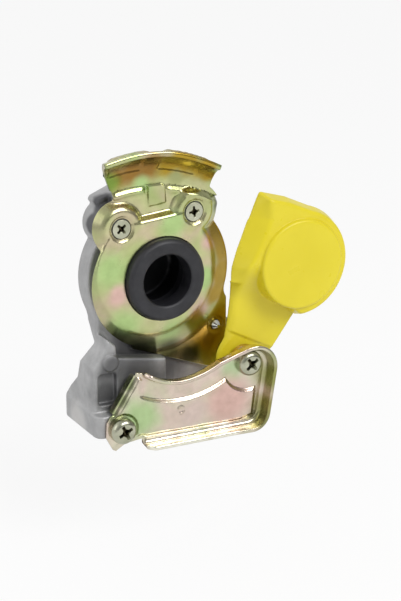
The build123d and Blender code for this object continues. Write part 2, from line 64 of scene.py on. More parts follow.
# Places in mm: X right and Z up from the seal's axis, F forward from the raised field
SEAL = (0, 0)
PIVOT = (31.8, -35.9)
GUARD_SCREW = (-21.6, -53.7)
DETENT = (24.8, -23.6)
PLATE_TURN = 5.4
SCREW_CIRCLE = 27.1
SCREW_SPREAD = 33.55
FACE_SCREWS = [around(SEAL, SCREW_CIRCLE, 90 + PLATE_TURN + side * SCREW_SPREAD) for side in (1, -1)]


# Blends

def smin(a, b, k):
    """Smooth minimum, its corner rounded over k."""
    h = np.clip(0.5 + 0.5 * (b - a) / k, 0, 1)
    return b + (a - b) * h - k * h * (1 - h)


def smax(a, b, k):
    return -smin(-a, -b, k)


def step(x, a, b):
    """Rises smoothly from 0 at a to 1 at b."""
    t = np.clip((x - a) / (b - a), 0, 1)
    return t * t * (3 - 2 * t)


def unit(v):
    return v / np.maximum(np.linalg.norm(v, axis=1), 1e-9)[:, None]


# Outlines as signed distances, negative inside

def circle(x, z, centre, radius):
    return np.hypot(x - centre[0], z - centre[1]) - radius


def screw_rounds(x, z, left, right):
    """Circles round the two face screws, given their radii."""
    return np.minimum(circle(x, z, FACE_SCREWS[0], left), circle(x, z, FACE_SCREWS[1], right))


def dish(x, z, centre, inner, outer):
    """Share of 1 within an inner radius round a place, down to 0 at the outer."""
    return 1 - step(np.hypot(x - centre[0], z - centre[1]), inner, outer)


def polygon(x, z, loop):
    """Signed distance to a closed loop of points."""
    loop = np.asarray(loop, float)
    x, z = np.broadcast_arrays(x, z)
    best = np.full(x.shape, 1e9)
    inside = np.zeros(x.shape, bool)
    for (ax, az), (bx, bz) in zip(loop, np.roll(loop, -1, 0)):
        ex, ez = bx - ax, bz - az
        t = np.clip(((x - ax) * ex + (z - az) * ez) / (ex * ex + ez * ez), 0, 1)
        best = np.minimum(best, np.hypot(x - ax - t * ex, z - az - t * ez))
        if ez != 0:
            crossing = (az > z) != (bz > z)
            inside ^= crossing & (x < ax + (z - az) / ez * ex)
    return np.where(inside, -best, best)


def both(a, b, radius):
    """Signed distance to what two shapes share, the edge between them rounded."""
    a, b = a + radius, b + radius
    return np.minimum(np.maximum(a, b), 0) + np.hypot(np.maximum(a, 0), np.maximum(b, 0)) - radius


def rectangle(x, z, centre, half, radius):
    return both(np.abs(x - centre[0]) - half[0], np.abs(z - centre[1]) - half[1], radius)


def prism(flat, depth, near, far, radius):
    """Signed distance of an outline extruded between two depths, its edges rounded."""
    return both(flat, np.abs(depth - (near + far) / 2) - abs(far - near) / 2, radius)


def upright(outline, f, near, far, radius):
    """Prism of an outline over X and Z."""
    return prism(outline[:, None, :], f, near, far, radius)


# Arcs as lists of points

def fan(centre, radius, first, last, count):
    """Points on an arc, its angles in degrees."""
    return [around(centre, radius, angle) for angle in np.linspace(first, last, count)]


def short_arc(centre, radius, first, last, count):
    """Points on a circle from one direction to another, the short way round."""
    start = math.atan2(first[1], first[0])
    turn = (math.atan2(last[1], last[0]) - start + math.pi) % (2 * math.pi) - math.pi
    angles = [start + turn * k / count for k in range(count + 1)]
    return [(centre[0] + radius * math.cos(a), centre[1] + radius * math.sin(a)) for a in angles]


def through(a, b, c, count):
    """Points on the arc through three points."""
    (ax, az), (bx, bz), (cx, cz) = a, b, c
    a2, b2, c2 = ax**2 + az**2, bx**2 + bz**2, cx**2 + cz**2
    d = 2 * (ax * (bz - cz) + bx * (cz - az) + cx * (az - bz))
    x = (a2 * (bz - cz) + b2 * (cz - az) + c2 * (az - bz)) / d
    z = (a2 * (cx - bx) + b2 * (ax - cx) + c2 * (bx - ax)) / d
    return short_arc((x, z), math.hypot(ax - x, az - z), (ax - x, az - z), (cx - x, cz - z), count)


def round_corner(before, corner, after, radius, count):
    """Points that round a corner between two straight sides."""
    p, a, b = (np.array(v, float) for v in (corner, before, after))
    u, v = (a - p) / np.linalg.norm(a - p), (b - p) / np.linalg.norm(b - p)
    half = math.acos(np.clip(u @ v, -1, 1)) / 2
    middle = (u + v) / np.linalg.norm(u + v)
    centre = p + middle * radius / math.sin(half)
    first = p + u * radius / math.tan(half) - centre
    last = p + v * radius / math.tan(half) - centre
    return short_arc(centre, radius, first, last, count)


# Mesh objects

SHARP_ANGLE = 35


def new_object(name, data):
    obj = bpy.data.objects.new(name, data)
    bpy.context.scene.collection.objects.link(obj)
    return obj


def make(name, verts, faces, body, normals=None):
    """Mesh object that rides on a body, from X, F, Z in mm, its faces turned to the normals."""
    mesh = bpy.data.meshes.new(name)
    if normals is not None:
        for k, f in enumerate(faces):
            across = np.cross(verts[f[:, 1]] - verts[f[:, 0]], verts[f[:, 2]] - verts[f[:, 0]])
            wrong = (across * normals[f].mean(1)).sum(1) < 0
            faces[k] = np.where(wrong[:, None], f[:, ::-1], f)
    # The frame's depth axis runs against F, so every face is turned over
    flipped = [face for f in faces for face in f[:, ::-1].tolist()]
    mesh.from_pydata(row(verts).tolist(), [], flipped)
    mesh.polygons.foreach_set("use_smooth", np.ones(len(mesh.polygons), bool))
    if normals is not None:
        mesh.normals_split_custom_set_from_vertices((normals * (1, -1, 1)).tolist())
    mesh.update()
    obj = new_object(name, mesh)
    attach(obj, body)
    return obj


def weld(obj):
    """Joins doubled points and keeps sharp edges sharp."""
    mesh = bmesh.new()
    mesh.from_mesh(obj.data)
    bmesh.ops.remove_doubles(mesh, verts=mesh.verts, dist=1e-7)
    bmesh.ops.dissolve_degenerate(mesh, dist=1e-8, edges=mesh.edges)
    bmesh.ops.recalc_face_normals(mesh, faces=mesh.faces)
    mesh.to_mesh(obj.data)
    mesh.free()
    obj.data.set_sharp_from_angle(angle=math.radians(SHARP_ANGLE))


def turned_piece(name, body, centre, profile, count):
    """A ring turned round an axis that points forward; its profile is a closed loop of (radius, F)."""
    angles = np.linspace(0, 2 * math.pi, count, endpoint=False)
    here = np.arange(count)
    ahead = (here + 1) % count
    verts, faces = [], []
    for k, (radius, f) in enumerate(profile):
        x, z = centre[0] + radius * np.cos(angles), centre[1] + radius * np.sin(angles)
        verts.append(np.stack([x, np.full(count, f), z], 1))
        this, other = k * count, (k + 1) % len(profile) * count
        faces.append(np.stack([this + here, this + ahead, other + ahead, other + here], 1))
    obj = make(name, np.concatenate(verts), [np.concatenate(faces)], body)
    weld(obj)
    return obj


# Pressed sheet: a flat pattern, bent by a function, given its thickness and rounded edges

EVEN_ROW = 0.866
LEAST_SLOPE = 0.2
EDGE_STEPS = 6
EDGE_OUT = 0.3
INSET = 0.08
PROBE = 0.06


def slope(area, x, z, gap=0.02):
    """How fast a signed distance grows along X and Z."""
    gx = (area(x + gap, z) - area(x - gap, z)) / (2 * gap)
    return gx, (area(x, z + gap) - area(x, z - gap)) / (2 * gap)


def triangle_grid(low, high, pitch):
    rows = np.arange(low[1], high[1] + pitch, pitch * EVEN_ROW)
    x, z = np.meshgrid(np.arange(low[0], high[0] + pitch, pitch), rows)
    x = x + (np.arange(len(rows)) % 2)[:, None] * pitch / 2
    index = np.arange(x.size).reshape(x.shape)
    tris = []
    for odd in (0, 1):
        a, b = index[odd:-1:2, :-1].ravel(), index[odd:-1:2, 1:].ravel()
        c, d = index[odd + 1::2, :-1].ravel(), index[odd + 1::2, 1:].ravel()
        n = min(len(a), len(c))
        a, b, c, d = a[:n], b[:n], c[:n], d[:n]
        if odd:
            tris += [np.stack([a, b, d], 1), np.stack([a, d, c], 1)]
        else:
            tris += [np.stack([a, b, c], 1), np.stack([b, d, c], 1)]
    return x.flatten(), z.flatten(), np.concatenate(tris)


def edges_of(tris):
    return np.concatenate([tris[:, [0, 1]], tris[:, [1, 2]], tris[:, [2, 0]]])


def clean_rim(tris, count):
    """The triangles without those that only touch at a corner, and the edges along their rim."""
    while True:
        edges = edges_of(tris)
        _, where, uses = np.unique(np.sort(edges, 1), axis=0, return_index=True, return_counts=True)
        rim = edges[where[uses == 1]]
        hits = np.bincount(rim.ravel(), minlength=count)
        bad = np.isin(tris, np.nonzero(hits > 2)[0]).any(1)
        if not bad.any():
            return tris, rim
        tris = tris[~bad]


def draw_to_edge(area, x, z, ids, share):
    """Moves some points towards the edge of a signed distance."""
    distance = area(x[ids], z[ids])
    ax, az = slope(area, x[ids], z[ids])
    size = np.maximum(ax ** 2 + az ** 2, LEAST_SLOPE)
    x[ids] -= share * distance * ax / size
    z[ids] -= share * distance * az / size


def neighbour_sum(pairs, v):
    a, b = pairs.T
    return np.bincount(a, v[b], len(v)) + np.bincount(b, v[a], len(v))


def flat_pattern(area, low, high, pitch):
    """Triangles over the inside of a signed distance, their edge points drawn onto it."""
    x, z, tris = triangle_grid(low, high, pitch)
    tris, rim = clean_rim(tris[(area(x, z)[tris] < 0.33 * pitch).all(1)], len(x))
    used = np.unique(rim)
    for _ in range(8):
        draw_to_edge(area, x, z, used, 0.8)
    # Points along the rim and inside it are evened out between their neighbours
    edges = np.unique(np.sort(edges_of(tris), 1), axis=0)
    degree = np.bincount(edges.ravel(), minlength=len(x))
    rim_degree = np.bincount(rim.ravel(), minlength=len(x))
    free = degree > 0
    free[used] = False
    for _ in range(6):
        for move, pairs, number in ((used, rim, rim_degree), (free, edges, degree)):
            for v in (x, z):
                v[move] = 0.5 * v[move] + 0.5 * neighbour_sum(pairs, v)[move] / number[move]
        draw_to_edge(area, x, z, used, 1.0)
    keep = np.nonzero(degree)[0]
    return x[keep], z[keep], np.searchsorted(keep, tris), np.searchsorted(keep, rim)


def sheet(name, body, area, low, high, bend, thick, pitch):
    """A pressed sheet: bend maps the flat pattern to its front surface."""
    x, z, tris, rim = flat_pattern(area, low, high, pitch)
    front = bend(x, z)
    count = len(front)
    ids = np.unique(rim)
    ax, az = slope(area, x[ids], z[ids])
    size = np.maximum(np.hypot(ax, az), 1e-6)
    ax, az = ax / size, az / size
    # Normals along the edge are taken a little inside it
    in_x, in_z = x.copy(), z.copy()
    in_x[ids] -= INSET * ax
    in_z[ids] -= INSET * az
    along_z = bend(in_x, in_z + PROBE) - bend(in_x, in_z - PROBE)
    along_x = bend(in_x + PROBE, in_z) - bend(in_x - PROBE, in_z)
    normal = unit(np.cross(along_z, along_x))
    normal *= np.sign(normal[:, 1].mean())
    out = unit(bend(x[ids], z[ids]) - bend(x[ids] - 0.1 * ax, z[ids] - 0.1 * az))
    out = unit(out - normal[ids] * (out * normal[ids]).sum(1)[:, None])
    # Front and back, joined by a crowned edge
    verts, normals, columns = [front, front - normal * thick], [normal, -normal], [ids]
    start = 2 * count
    for k in range(1, EDGE_STEPS):
        angle = math.pi * k / EDGE_STEPS
        side = math.sin(angle) ** 0.45
        up = math.copysign(abs(math.cos(angle)) ** 0.55, math.cos(angle))
        verts.append(front[ids] - normal[ids] * thick / 2 * (1 - up) + out * EDGE_OUT * side)
        normals.append(unit(normal[ids] * math.cos(angle) + out * (math.sin(angle) + 0.3)))
        columns.append(np.arange(start, start + len(ids)))
        start += len(ids)
    columns.append(ids + count)
    pair = np.searchsorted(ids, rim)
    faces = [tris, tris + count]
    for this, other in zip(columns[:-1], columns[1:]):
        (a, b), (d, c) = this[pair].T, other[pair].T
        faces += [np.stack([a, b, c], 1), np.stack([a, c, d], 1)]
    return make(name, np.concatenate(verts), faces, body, normals=np.concatenate(normals))


# Solid from a signed distance on a grid

def cell_points(v):
    """A point in each cell that the surface passes, in steps of the grid, and their numbers."""
    cells = [n - 1 for n in v.shape]
    total = np.zeros(cells + [3], np.float32)
    count = np.zeros(cells, np.float32)

    def corner(offset):
        return v[tuple(slice(o, o + c) for o, c in zip(offset, cells))]

    for axis in range(3):
        others = [a for a in range(3) if a != axis]
        for p, q in np.ndindex(2, 2):
            start = [0, 0, 0]
            start[others[0]], start[others[1]] = p, q
            end = list(start)
            end[axis] = 1
            a, b = corner(start), corner(end)
            cut = (a < 0) != (b < 0)
            total[..., axis] += np.where(cut, a / np.where(cut, a - b, 1), 0)
            total[..., others[0]] += cut * p
            total[..., others[1]] += cut * q
            count += cut
    mask = count > 0
    index = np.full(cells, -1)
    index[mask] = np.arange(mask.sum())
    return np.argwhere(mask) + total[mask] / count[mask][:, None], index


def cell_quads(v, index):
    """A face round each edge of the grid that the surface crosses."""
    faces = []
    for axis in range(3):
        near, far = [slice(1, -1)] * 3, [slice(1, -1)] * 3
        near[axis], far[axis] = slice(0, -1), slice(1, None)
        a, b = v[tuple(near)], v[tuple(far)]
        for sign in (1, -1):
            base = np.argwhere((a * sign < 0) & (b * sign > 0)) + 1
            base[:, axis] -= 1
            corners = []
            for first, second in ((-1, -1), (0, -1), (0, 0), (-1, 0)):
                cell = base.copy()
                cell[:, (axis + 1) % 3] += first
                cell[:, (axis + 2) % 3] += second
                corners.append(index[tuple(cell.T)])
            quad = np.stack(corners, 1)[:, ::sign]
            faces.append(quad[(quad >= 0).all(1)])
    return np.concatenate(faces)


def grid_normals(v, at, pitch):
    """Directions in which the distance grows, at places counted in steps of the grid."""
    grad = np.stack(np.gradient(v, pitch), -1)
    base = np.clip(at.astype(int), 0, np.array(v.shape) - 2)
    t = at - base
    normal = np.zeros_like(at)
    for corner in np.ndindex(2, 2, 2):
        share = np.where(corner, t, 1 - t)
        cell = base + corner
        weight = share[:, 0] * share[:, 1] * share[:, 2]
        normal += weight[:, None] * grad[tuple(cell.T)]
    return unit(normal)


def solid(name, body, distance, low, high, pitch):
    """A solid drawn where a signed distance of X, F, Z changes sign between two corners."""
    axes = [np.arange(a, b + pitch, pitch) for a, b in zip(low, high)]
    v = distance(axes[0][:, None, None], axes[1][None, :, None], axes[2][None, None, :])
    v = np.broadcast_to(v, [len(a) for a in axes]).astype(np.float32)
    v = np.where(v == 0, 1e-6, v)
    steps, index = cell_points(v)
    origin = np.array(low, float)
    points = steps * pitch + origin
    normals = grid_normals(v, (points - origin) / pitch, pitch)
    return make(name, points, [cell_quads(v, index)], body, normals=normals)


# Face plate

PLATE_THICK = 2.0
PLATE_DISC, PLATE_DISC_RADIUS = (0.45, 0.5), 28.8
RIM_RADIUS, FIELD_RADIUS = 29.6, 24.0
FIELD_CENTRE = (-3.5, 3.2)
FIELD_RISE = 5.5
SEAL_HOLE, SCREW_HOLE, DETENT_HOLE = 16.3, 4.15, 2.35
TAIL = [(0, -20), (-11, -27.1), (21.5, -39.7), (29, -37.9), (29.0, -13), (22, 0)]
SHELF = -2.3
# Lug: how far up it starts and ends, its middle and half its width
LUG_FOOT, LUG_TOP, LUG_MIDDLE, LUG_HALF = 28.0, 38.9, 0.9, 3.65
# Claw: centre and radius of its root, and the quarter ellipse it bends along
CLAW = (-7.0, -26.8)
CLAW_ROOT = 62.8
CLAW_REACH = 10.3
CLAW_RISE = 12.4
CLAW_LENGTH = 17.6
# Angles of its sides along it, and its height by angle, in degrees
CLAW_LEFT = [(0, 11.6), (8, 13.2), (CLAW_LENGTH, 14.9)]
CLAW_RIGHT = [(0, 25.0), (9, 23.2), (CLAW_LENGTH, 21.0)]
CLAW_TALL = [(-15, 12.6), (-5, 12.6), (0, 12.4), (5, 12.1), (10, 11.3), (15, 10.4), (20, 9.6), (25, 9.0)]
POCKETS = ((1.4, 12.2), (-17.2, -4.2))
POCKET_DEPTH = 0.75


def curve(x, knots):
    return np.interp(x, *zip(*knots))


def arc_length(angle, radius):
    return angle * radius * math.pi / 180


def claw_polar(x, z):
    """Distance from the claw's centre, and angle to the left of straight up in degrees."""
    dx, dz = x - CLAW[0], z - CLAW[1]
    return np.hypot(dx, dz), np.degrees(np.arctan2(-dx, dz))


def field_share(x, z):
    """How far up the skewed cone from the rim a point lies: 0 on the rim, 1 on the raised field."""
    cx, cz = FIELD_CENTRE
    taper = RIM_RADIUS - FIELD_RADIUS
    a = cx * cx + cz * cz - taper ** 2
    b = 2 * RIM_RADIUS * taper - 2 * (x * cx + z * cz)
    c = x * x + z * z - RIM_RADIUS * RIM_RADIUS
    root = np.sqrt(np.maximum(b * b - 4 * a * c, 1e-9))
    return (-b + root) / (2 * a)


def plate_area(x, z):
    """Flat pattern of the face plate: disc, lobes, claw and tail, less the holes."""
    rho, angle = claw_polar(x, z)
    beyond = rho - CLAW_ROOT
    left = arc_length(angle - curve(beyond, CLAW_LEFT), rho)
    right = arc_length(-curve(beyond, CLAW_RIGHT) - angle, rho)
    upper = np.maximum(np.maximum(left, right), np.maximum(beyond - CLAW_LENGTH, 20 - z))
    tail = np.maximum(polygon(x, z, TAIL), -circle(x, z, PIVOT, 7.1))
    outer = smin(circle(x, z, PLATE_DISC, PLATE_DISC_RADIUS), screw_rounds(x, z, 10.3, 11.3), 1.5)
    outer = smin(smin(outer, upper, 1.0), tail, 2.0)
    holes = np.minimum(circle(x, z, SEAL, SEAL_HOLE), circle(x, z, DETENT, DETENT_HOLE))
    holes = np.minimum(holes, screw_rounds(x, z, SCREW_HOLE, SCREW_HOLE))
    return np.maximum(outer, -holes)


def plate_level(x, z):
    """Height F of the plate's front over its flat pattern, below the claw's root."""
    flat = 0 * x
    c, s = around((0, 0), 1, PLATE_TURN)
    up, across = z * c - x * s, x * c + z * s
    rho, angle = claw_polar(x, z)
    # Raised field on its skewed cone, cut straight below the claw, and the lobes
    cone = smin(-FIELD_RISE * (1 - field_share(x, z)), flat, 1.3)
    cone = smin(cone, -1.35 * (up - 23.4), 1.0)
    lobes = smin(-1.15 * screw_rounds(x, z, 7.4, 7.4), flat, 1.3)
    raised = smax(cone, lobes, 0.8)
    # Lower shelf round the lobes and up to the claw
    sides = np.maximum(arc_length(angle - 12.2, rho), arc_length(-25.0 - angle, rho)) + 0.6
    upper = smin(np.maximum(sides, 14 - z), screw_rounds(x, z, 9.2, 10.0), 2.0)
    level = smax(raised, smin(SHELF - 1.5 * upper, SHELF + flat, 1.6), 0.7)
    level = smax(level, -FIELD_RISE + flat, 0.9)
    # Lug below the claw, highest and steep at its top
    lug = smin(LUG_HALF - np.abs(across - LUG_MIDDLE), LUG_TOP - up, 0.6)
    lug = smin(lug, up - LUG_FOOT, 0.8)
    level = level + (0.5 + 2.1 * np.clip((up - LUG_FOOT) / 10.6, 0, 1)) * step(lug, -0.35, 0.55)
    # Soft ridge under the crease of the claw, on both sides of the lug
    ridge = np.exp(-((rho - CLAW_ROOT + 2.2) / 1.2) ** 2)
    level = level + 0.75 * ridge * step(np.abs(across - LUG_MIDDLE), 3.2, 6)
    # Dimples round the face screws and a dish round the detent
    for screw in FACE_SCREWS:
        level = level - 0.55 * dish(x, z, screw, 4.2, 5.2)
    return level - 0.5 * dish(x, z, DETENT, 2.4, 4.0)


def plate_bend(x, z):
    """The plate's front surface, with the claw bent forward beyond its root."""
    rho, angle = claw_polar(x, z)
    turns = np.linspace(0, math.pi / 2, 200)
    speed = np.hypot(CLAW_RISE * np.cos(turns), CLAW_REACH * np.sin(turns))
    length = np.concatenate([[0], np.cumsum((speed[1:] + speed[:-1]) / 2 * (turns[1] - turns[0]))])
    along = np.clip(rho - CLAW_ROOT, 0, length[-1])
    t = np.interp(along, length, turns)
    radial = CLAW_ROOT + curve(-angle, CLAW_TALL) * np.sin(t)
    forward = SHELF + CLAW_REACH * (1 - np.cos(t))
    # Two pockets pressed into the claw's inner face
    depth = 0 * x
    for low, high in POCKETS:
        inside = step(angle, low - 0.5, low + 0.5) * (1 - step(angle, high - 0.5, high + 0.5))
        depth = depth + POCKET_DEPTH * inside * step(along, 5.2, 6.6) * (1 - step(along, 14.6, 15.6))
    radial = radial + depth * np.sin(t)
    forward = forward - depth * np.cos(t)
    beyond = rho > CLAW_ROOT
    level = np.where(beyond, forward, plate_level(x, z))
    scale = np.where(beyond, radial, rho) / np.maximum(rho, 1e-6)
    return np.stack([CLAW[0] + (x - CLAW[0]) * scale, level, CLAW[1] + (z - CLAW[1]) * scale], 1)


face = sheet("face_plate_pressed", "head", plate_area, (-34, -43), (34, 58), plate_bend, PLATE_THICK, 0.55)
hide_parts("face_plate")


# Guide plate: a tray with flanges bent forward and one edge bent back

GUARD_BACK = 5.7
GUARD_THICK = 1.5
GUARD_BEND = 1.6
GUARD_HOLE = 2.7
GUARD_ARC = 38.5
GUARD_TOP, GUARD_LOW, GUARD_FOOT = (41.9, -27.0), (36.4, -61.2), (-12.5, -60.8)
THROAT = (-13.6, -33.0)
SLANT = ((-27.3, -50.6), (-15.4, -32.6))
SLANT_X, SLANT_Z = np.subtract(SLANT[1], SLANT[0]) / math.dist(*SLANT)
# Where the edge along the slant is bent back, and how wide it is
SLANT_FROM, SLANT_TO, SLANT_WIDE = 4.4, 20.4, 3.3
# The flanges bent forward begin here and are this tall
FLANGE_FROM = -12.9
FLANGE_TALL = 4.3
# Raised field: its upper arc, its other sides and the seat of the pivot screw
FIELD_ARC, FIELD_ARC_RADIUS = (3.2, -6.9), 38.4
FIELD_SIDES = [(-60, -20), (60, -20), (35.6, -42.0), (33.8, -57.6), (28, -58.9), (-12, -58.0), (-60, -60)]
PIVOT_SEAT = 10.6
MARK = (2.4, -49.8)


def guard_loop():
    """The guide plate's outline, clockwise from the upper end of its slant edge."""
    # The outer arc begins where the throat's curve ends
    arc = fan(SEAL, GUARD_ARC, 256, 298, 40)[19:]
    loop = round_corner((-25, -48), SLANT[1], THROAT, 0.5, 10)
    loop += through(THROAT, (-6.6, -36.8), (1.5, -38.4), 20) + arc
    loop += round_corner(arc[-1], GUARD_TOP, GUARD_LOW, 7.6, 16)
    loop += round_corner(GUARD_TOP, GUARD_LOW, GUARD_FOOT, 5.8, 12)
    return loop + [GUARD_FOOT, (-13.4, -58.4), (-20.4, -59.2), (-24.6, -61.6), (-27.6, -56.0), SLANT[0]]


GUARD_LOOP = guard_loop()


def slant_place(x, z):
    """Distance outside the slant edge, and place along it from its foot."""
    dx, dz = x - SLANT[0][0], z - SLANT[0][1]
    return -dx * SLANT_Z + dz * SLANT_X, dx * SLANT_X + dz * SLANT_Z


def guard_outline(x, z):
    return polygon(x, z, GUARD_LOOP)


def guard_area(x, z):
    """Flat pattern of the guide plate: its outline with both folds laid flat, less the holes."""
    outside = guard_outline(x, z)
    tall = FLANGE_TALL - 1.1 * step(z, -40.0, -34.0) * step(-x, -34.0, -24.0)
    forward = np.maximum(outside - tall * step(x, -14.4, -9.5), FLANGE_FROM - x)
    out, along = slant_place(x, z)
    back = np.maximum(out - SLANT_WIDE, SLANT_FROM - along)
    back = np.maximum(back, np.maximum(along - SLANT_TO, -out - 1.0))
    holes = np.minimum(circle(x, z, PIVOT, GUARD_HOLE), circle(x, z, GUARD_SCREW, GUARD_HOLE))
    return np.maximum(np.minimum(np.minimum(outside, forward), back), -holes)


def guard_bend(x, z):
    r = GUARD_BEND
    outside = guard_outline(x, z)
    gx, gz = slope(guard_outline, x, z, 0.05)
    size = np.maximum(np.hypot(gx, gz), 0.3)
    # Flange bent forward at the top, right and foot
    bent = outside + r
    full = math.pi / 2 - 0.10 * step(x, 20, 38) - 0.02
    t = np.clip(bent / r, 0, full)
    rest = np.maximum(bent - r * full, 0)
    share = step(x, -13.8, -12.3) * (bent > 0)
    shift = (r * np.sin(t) + rest * np.cos(full) - bent) * share
    lift = (r * (1 - np.cos(t)) + rest * np.sin(full)) * share
    px, pz = x + gx / size * shift, z + gz / size * shift
    # Edge bent back along the slant
    out, along = slant_place(x, z)
    bent = out + r
    t = np.clip(bent / r, 0, math.pi / 2)
    share = step(along, 3.0, SLANT_FROM) * (1 - step(along, SLANT_TO, 21.6)) * (bent > 0) * (x < -12.3)
    shift = (r * np.sin(t) - bent) * share
    px, pz = px - SLANT_Z * shift, pz + SLANT_X * shift
    rest = np.maximum(bent - r * math.pi / 2, 0)
    lift = lift - (r * (1 - np.cos(t)) + rest) * share
    # Raised field, below an arc and clear of the seats of the two screws
    field = smax(-circle(x, z, FIELD_ARC, FIELD_ARC_RADIUS), -circle(x, z, PIVOT, PIVOT_SEAT), 1.0)
    wall = step(-smax(field, polygon(x, z, FIELD_SIDES), 0.8), -0.2, 1.3)
    fade = step(x, -16.0, -12.0)
    edge = step(-outside, 1.0, 2.2)
    lift = lift + (wall * fade + 1 - fade) * edge
    lift = lift - dish(x, z, GUARD_SCREW, 5.6, 6.9) * edge
    lift = lift + 0.28 * np.exp(-(circle(x, z, MARK, 1.35) / 0.38) ** 2)
    return np.stack([px, GUARD_BACK + GUARD_THICK + lift, pz], 1)


guard = sheet("guide_plate_pressed", "head", guard_area, (-33, -70), (50, -20), guard_bend, GUARD_THICK, 0.5)
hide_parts("guard_plate")


# Casting

# Radii of the forms round the seal and the face screws
HOUSING, HUB, BOSS = 28.0, 18.5, 18.6
SCREW_PAD, SHOULDER = 5.4, 8.8
SHOULDER_BAND = [(-20, 12), (-18.3, 32.6), (13.8, 33.1), (20, 12)]
UPPER_FIN = [(-12, 35.0), (-22.3, 30.8), (-23.1, 29.3), (-20.6, 26.5), (-12, 20)]
LOWER_FIN = [(-18, 28), (-24.0, 22.8), (-24.6, 21.1), (-22.2, 18.6), (-14, 12)]
BLOCK_FOOT = -56.8
BLOCK_SIDE = [(-29.8, -31), (-29.8, BLOCK_FOOT)]
BLOCK_LEFT = [(-24.2, -19.8), (-24.8, -23.6)] + BLOCK_SIDE + [(0.3, BLOCK_FOOT)]
BLOCK_WALL = BLOCK_LEFT + [(0.3, -31.0), (-20, -27.6), (-20.6, -22.9)]
BLOCK_BEHIND = BLOCK_LEFT + [(0.3, -33.8), (-20, -33.8), (-20.6, -22.9)]
BLOCK_REAR = [(-23.8, -8), (-24.8, -23.5)] + BLOCK_SIDE + [(7.8, BLOCK_FOOT), (7.8, -14)]
# The block's rear seen from the side: how far behind the field, and Z
BLOCK_PROFILE = [
    (7.5, -4), (16.3, -4), (16.3, -17), (9.6, -24.2), (12.2, -31), (14.7, -38), (21.2, -43.6),
    (25.3, -48), (25.3, -60), (7.5, -60)]
ARM = [
    (-4, -20), (20, -12), (27.3, -14.7), (28.8, -20), (38.2, -29.6), (40.8, -36), (35.8, -44.2),
    (24, -46.8), (8, -51.8), (-4, -51.8)]
ARM_END = 9.4
# Port and air passage: X, and how far behind the field
PORT = (-13, 14.5)
PORT_RADIUS, PASSAGE_RADIUS, PASSAGE_HOUSING = 7.25, 4.0, 7.0
# Bore behind the seal: radius, depth, roundings of floor and mouth
SEAL_BORES = ((17.1, -4.5, 0.1, 0.2), (15.2, -10, 0.1, 0.2), (12.5, -20, 1.0, 0.3))
TAPPED_HOLE, DETENT_BORE = 2.6, 3.2


def casting_distance(x, f, z):
    """Signed distance of the casting from X, F, Z in mm."""
    at, foot = (x[:, 0], z[0]), (x[:, 0], -f[:, :, 0])

    def below(outline, low, high, radius):
        return prism(outline[:, :, None], z, low, high, radius)

    # Ring housing, hub, boss of the seal, screw pads, shoulders and fins
    body = upright(circle(*at, SEAL, HOUSING), f, -7.5, -16.5, 1.2)
    body = smin(body, upright(circle(*at, SEAL, HUB), f, -12, -24, 2.6), 2.0)
    body = np.minimum(body, upright(circle(*at, SEAL, BOSS), f, -2, -10, 0.2))
    body = np.minimum(body, upright(screw_rounds(*at, SCREW_PAD, SCREW_PAD), f, -2.2, -10, 0.2))
    shoulders = screw_rounds(*at, SHOULDER, SHOULDER)
    shoulders = np.minimum(shoulders, polygon(*at, SHOULDER_BAND))
    body = smin(body, upright(shoulders, f, -4.5, -16.3, 1.0), 0.8)
    fins = np.minimum(polygon(*at, UPPER_FIN), polygon(*at, LOWER_FIN))
    body = smin(body, upright(fins, f, -7.7, -17.3, 0.7), 0.9)
    # Block and its front wall
    block = upright(polygon(*at, BLOCK_WALL), f, 0.9, -4.9, 0.9)
    block = smin(block, upright(polygon(*at, BLOCK_BEHIND), f, -4.0, -8.5, 0.7), 0.6)
    side = polygon(-f[0], z[0], BLOCK_PROFILE)[None, :, :]
    block = smin(block, smax(polygon(*at, BLOCK_REAR)[:, None, :], side, 1.2), 0.8)
    body = smin(body, block, 1.6)
    # Arm for the lid's pivot
    arm = np.minimum(polygon(*at, ARM), circle(*at, PIVOT, ARM_END))
    body = smin(body, upright(arm, f, -7.5, -19.9, 1.2), 1.4)
    # Collar at the foot and the air passage's housing
    collar = rectangle(*foot, (-12.5, 9.9), (18.4, 15.5), 3.5)
    body = smin(body, below(collar, -56.95, -48.1, 0.8), 0.9)
    body = smin(body, below(circle(*foot, PORT, PASSAGE_HOUSING), -56.9, 0, 0.5), 1.6)
    # Seat of the seal, chamber, port and air passage
    for radius, depth, edge, mouth in SEAL_BORES:
        body = smax(body, -upright(circle(*at, SEAL, radius), f, 5, depth, edge), mouth)
    body = smax(body, -below(circle(*foot, PORT, PORT_RADIUS), -70, -43.0, 0.2), 0.5)
    body = smax(body, -below(circle(*foot, PORT, PASSAGE_RADIUS), -50, -8, 0.2), 0.3)
    # Cored pocket, and a round pad with a groove on the front wall
    pocket = rectangle(*at, (-24.2, -39.4), (3.7, 6.0), 1.2)
    body = smax(body, -upright(pocket, f, 3, -1.6, 0.6), 0.5)
    pad = circle(*at, (-23.0, -29.2), 3.2)
    body = smin(body, upright(pad, f, 1.55, -2, 0.3), 0.25)
    body = smax(body, -upright(np.abs(pad - 0.25) - 0.22, f, 2, 0.55, 0.1), 0.3)
    # Holes for the screws and the detent
    holes = np.minimum(circle(*at, PIVOT, TAPPED_HOLE), circle(*at, GUARD_SCREW, TAPPED_HOLE))
    body = smax(body, -upright(holes, f, 10, -16, 0.1), 0.2)
    return smax(body, -upright(circle(*at, DETENT, DETENT_BORE), f, 10, -18.5, 0.1), 0.2)


casting = solid("casting_body", "head", casting_distance, (-33, -27, -59), (44, 8, 38), 0.5)
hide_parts("body_casting")


# Lid

DISC = (52.9, 0.9)
DISC_RADIUS = 17.5
CAP_BACK, CAP_FRONT = 3.8, 10.0
CAP_DEEP = CAP_FRONT - CAP_BACK
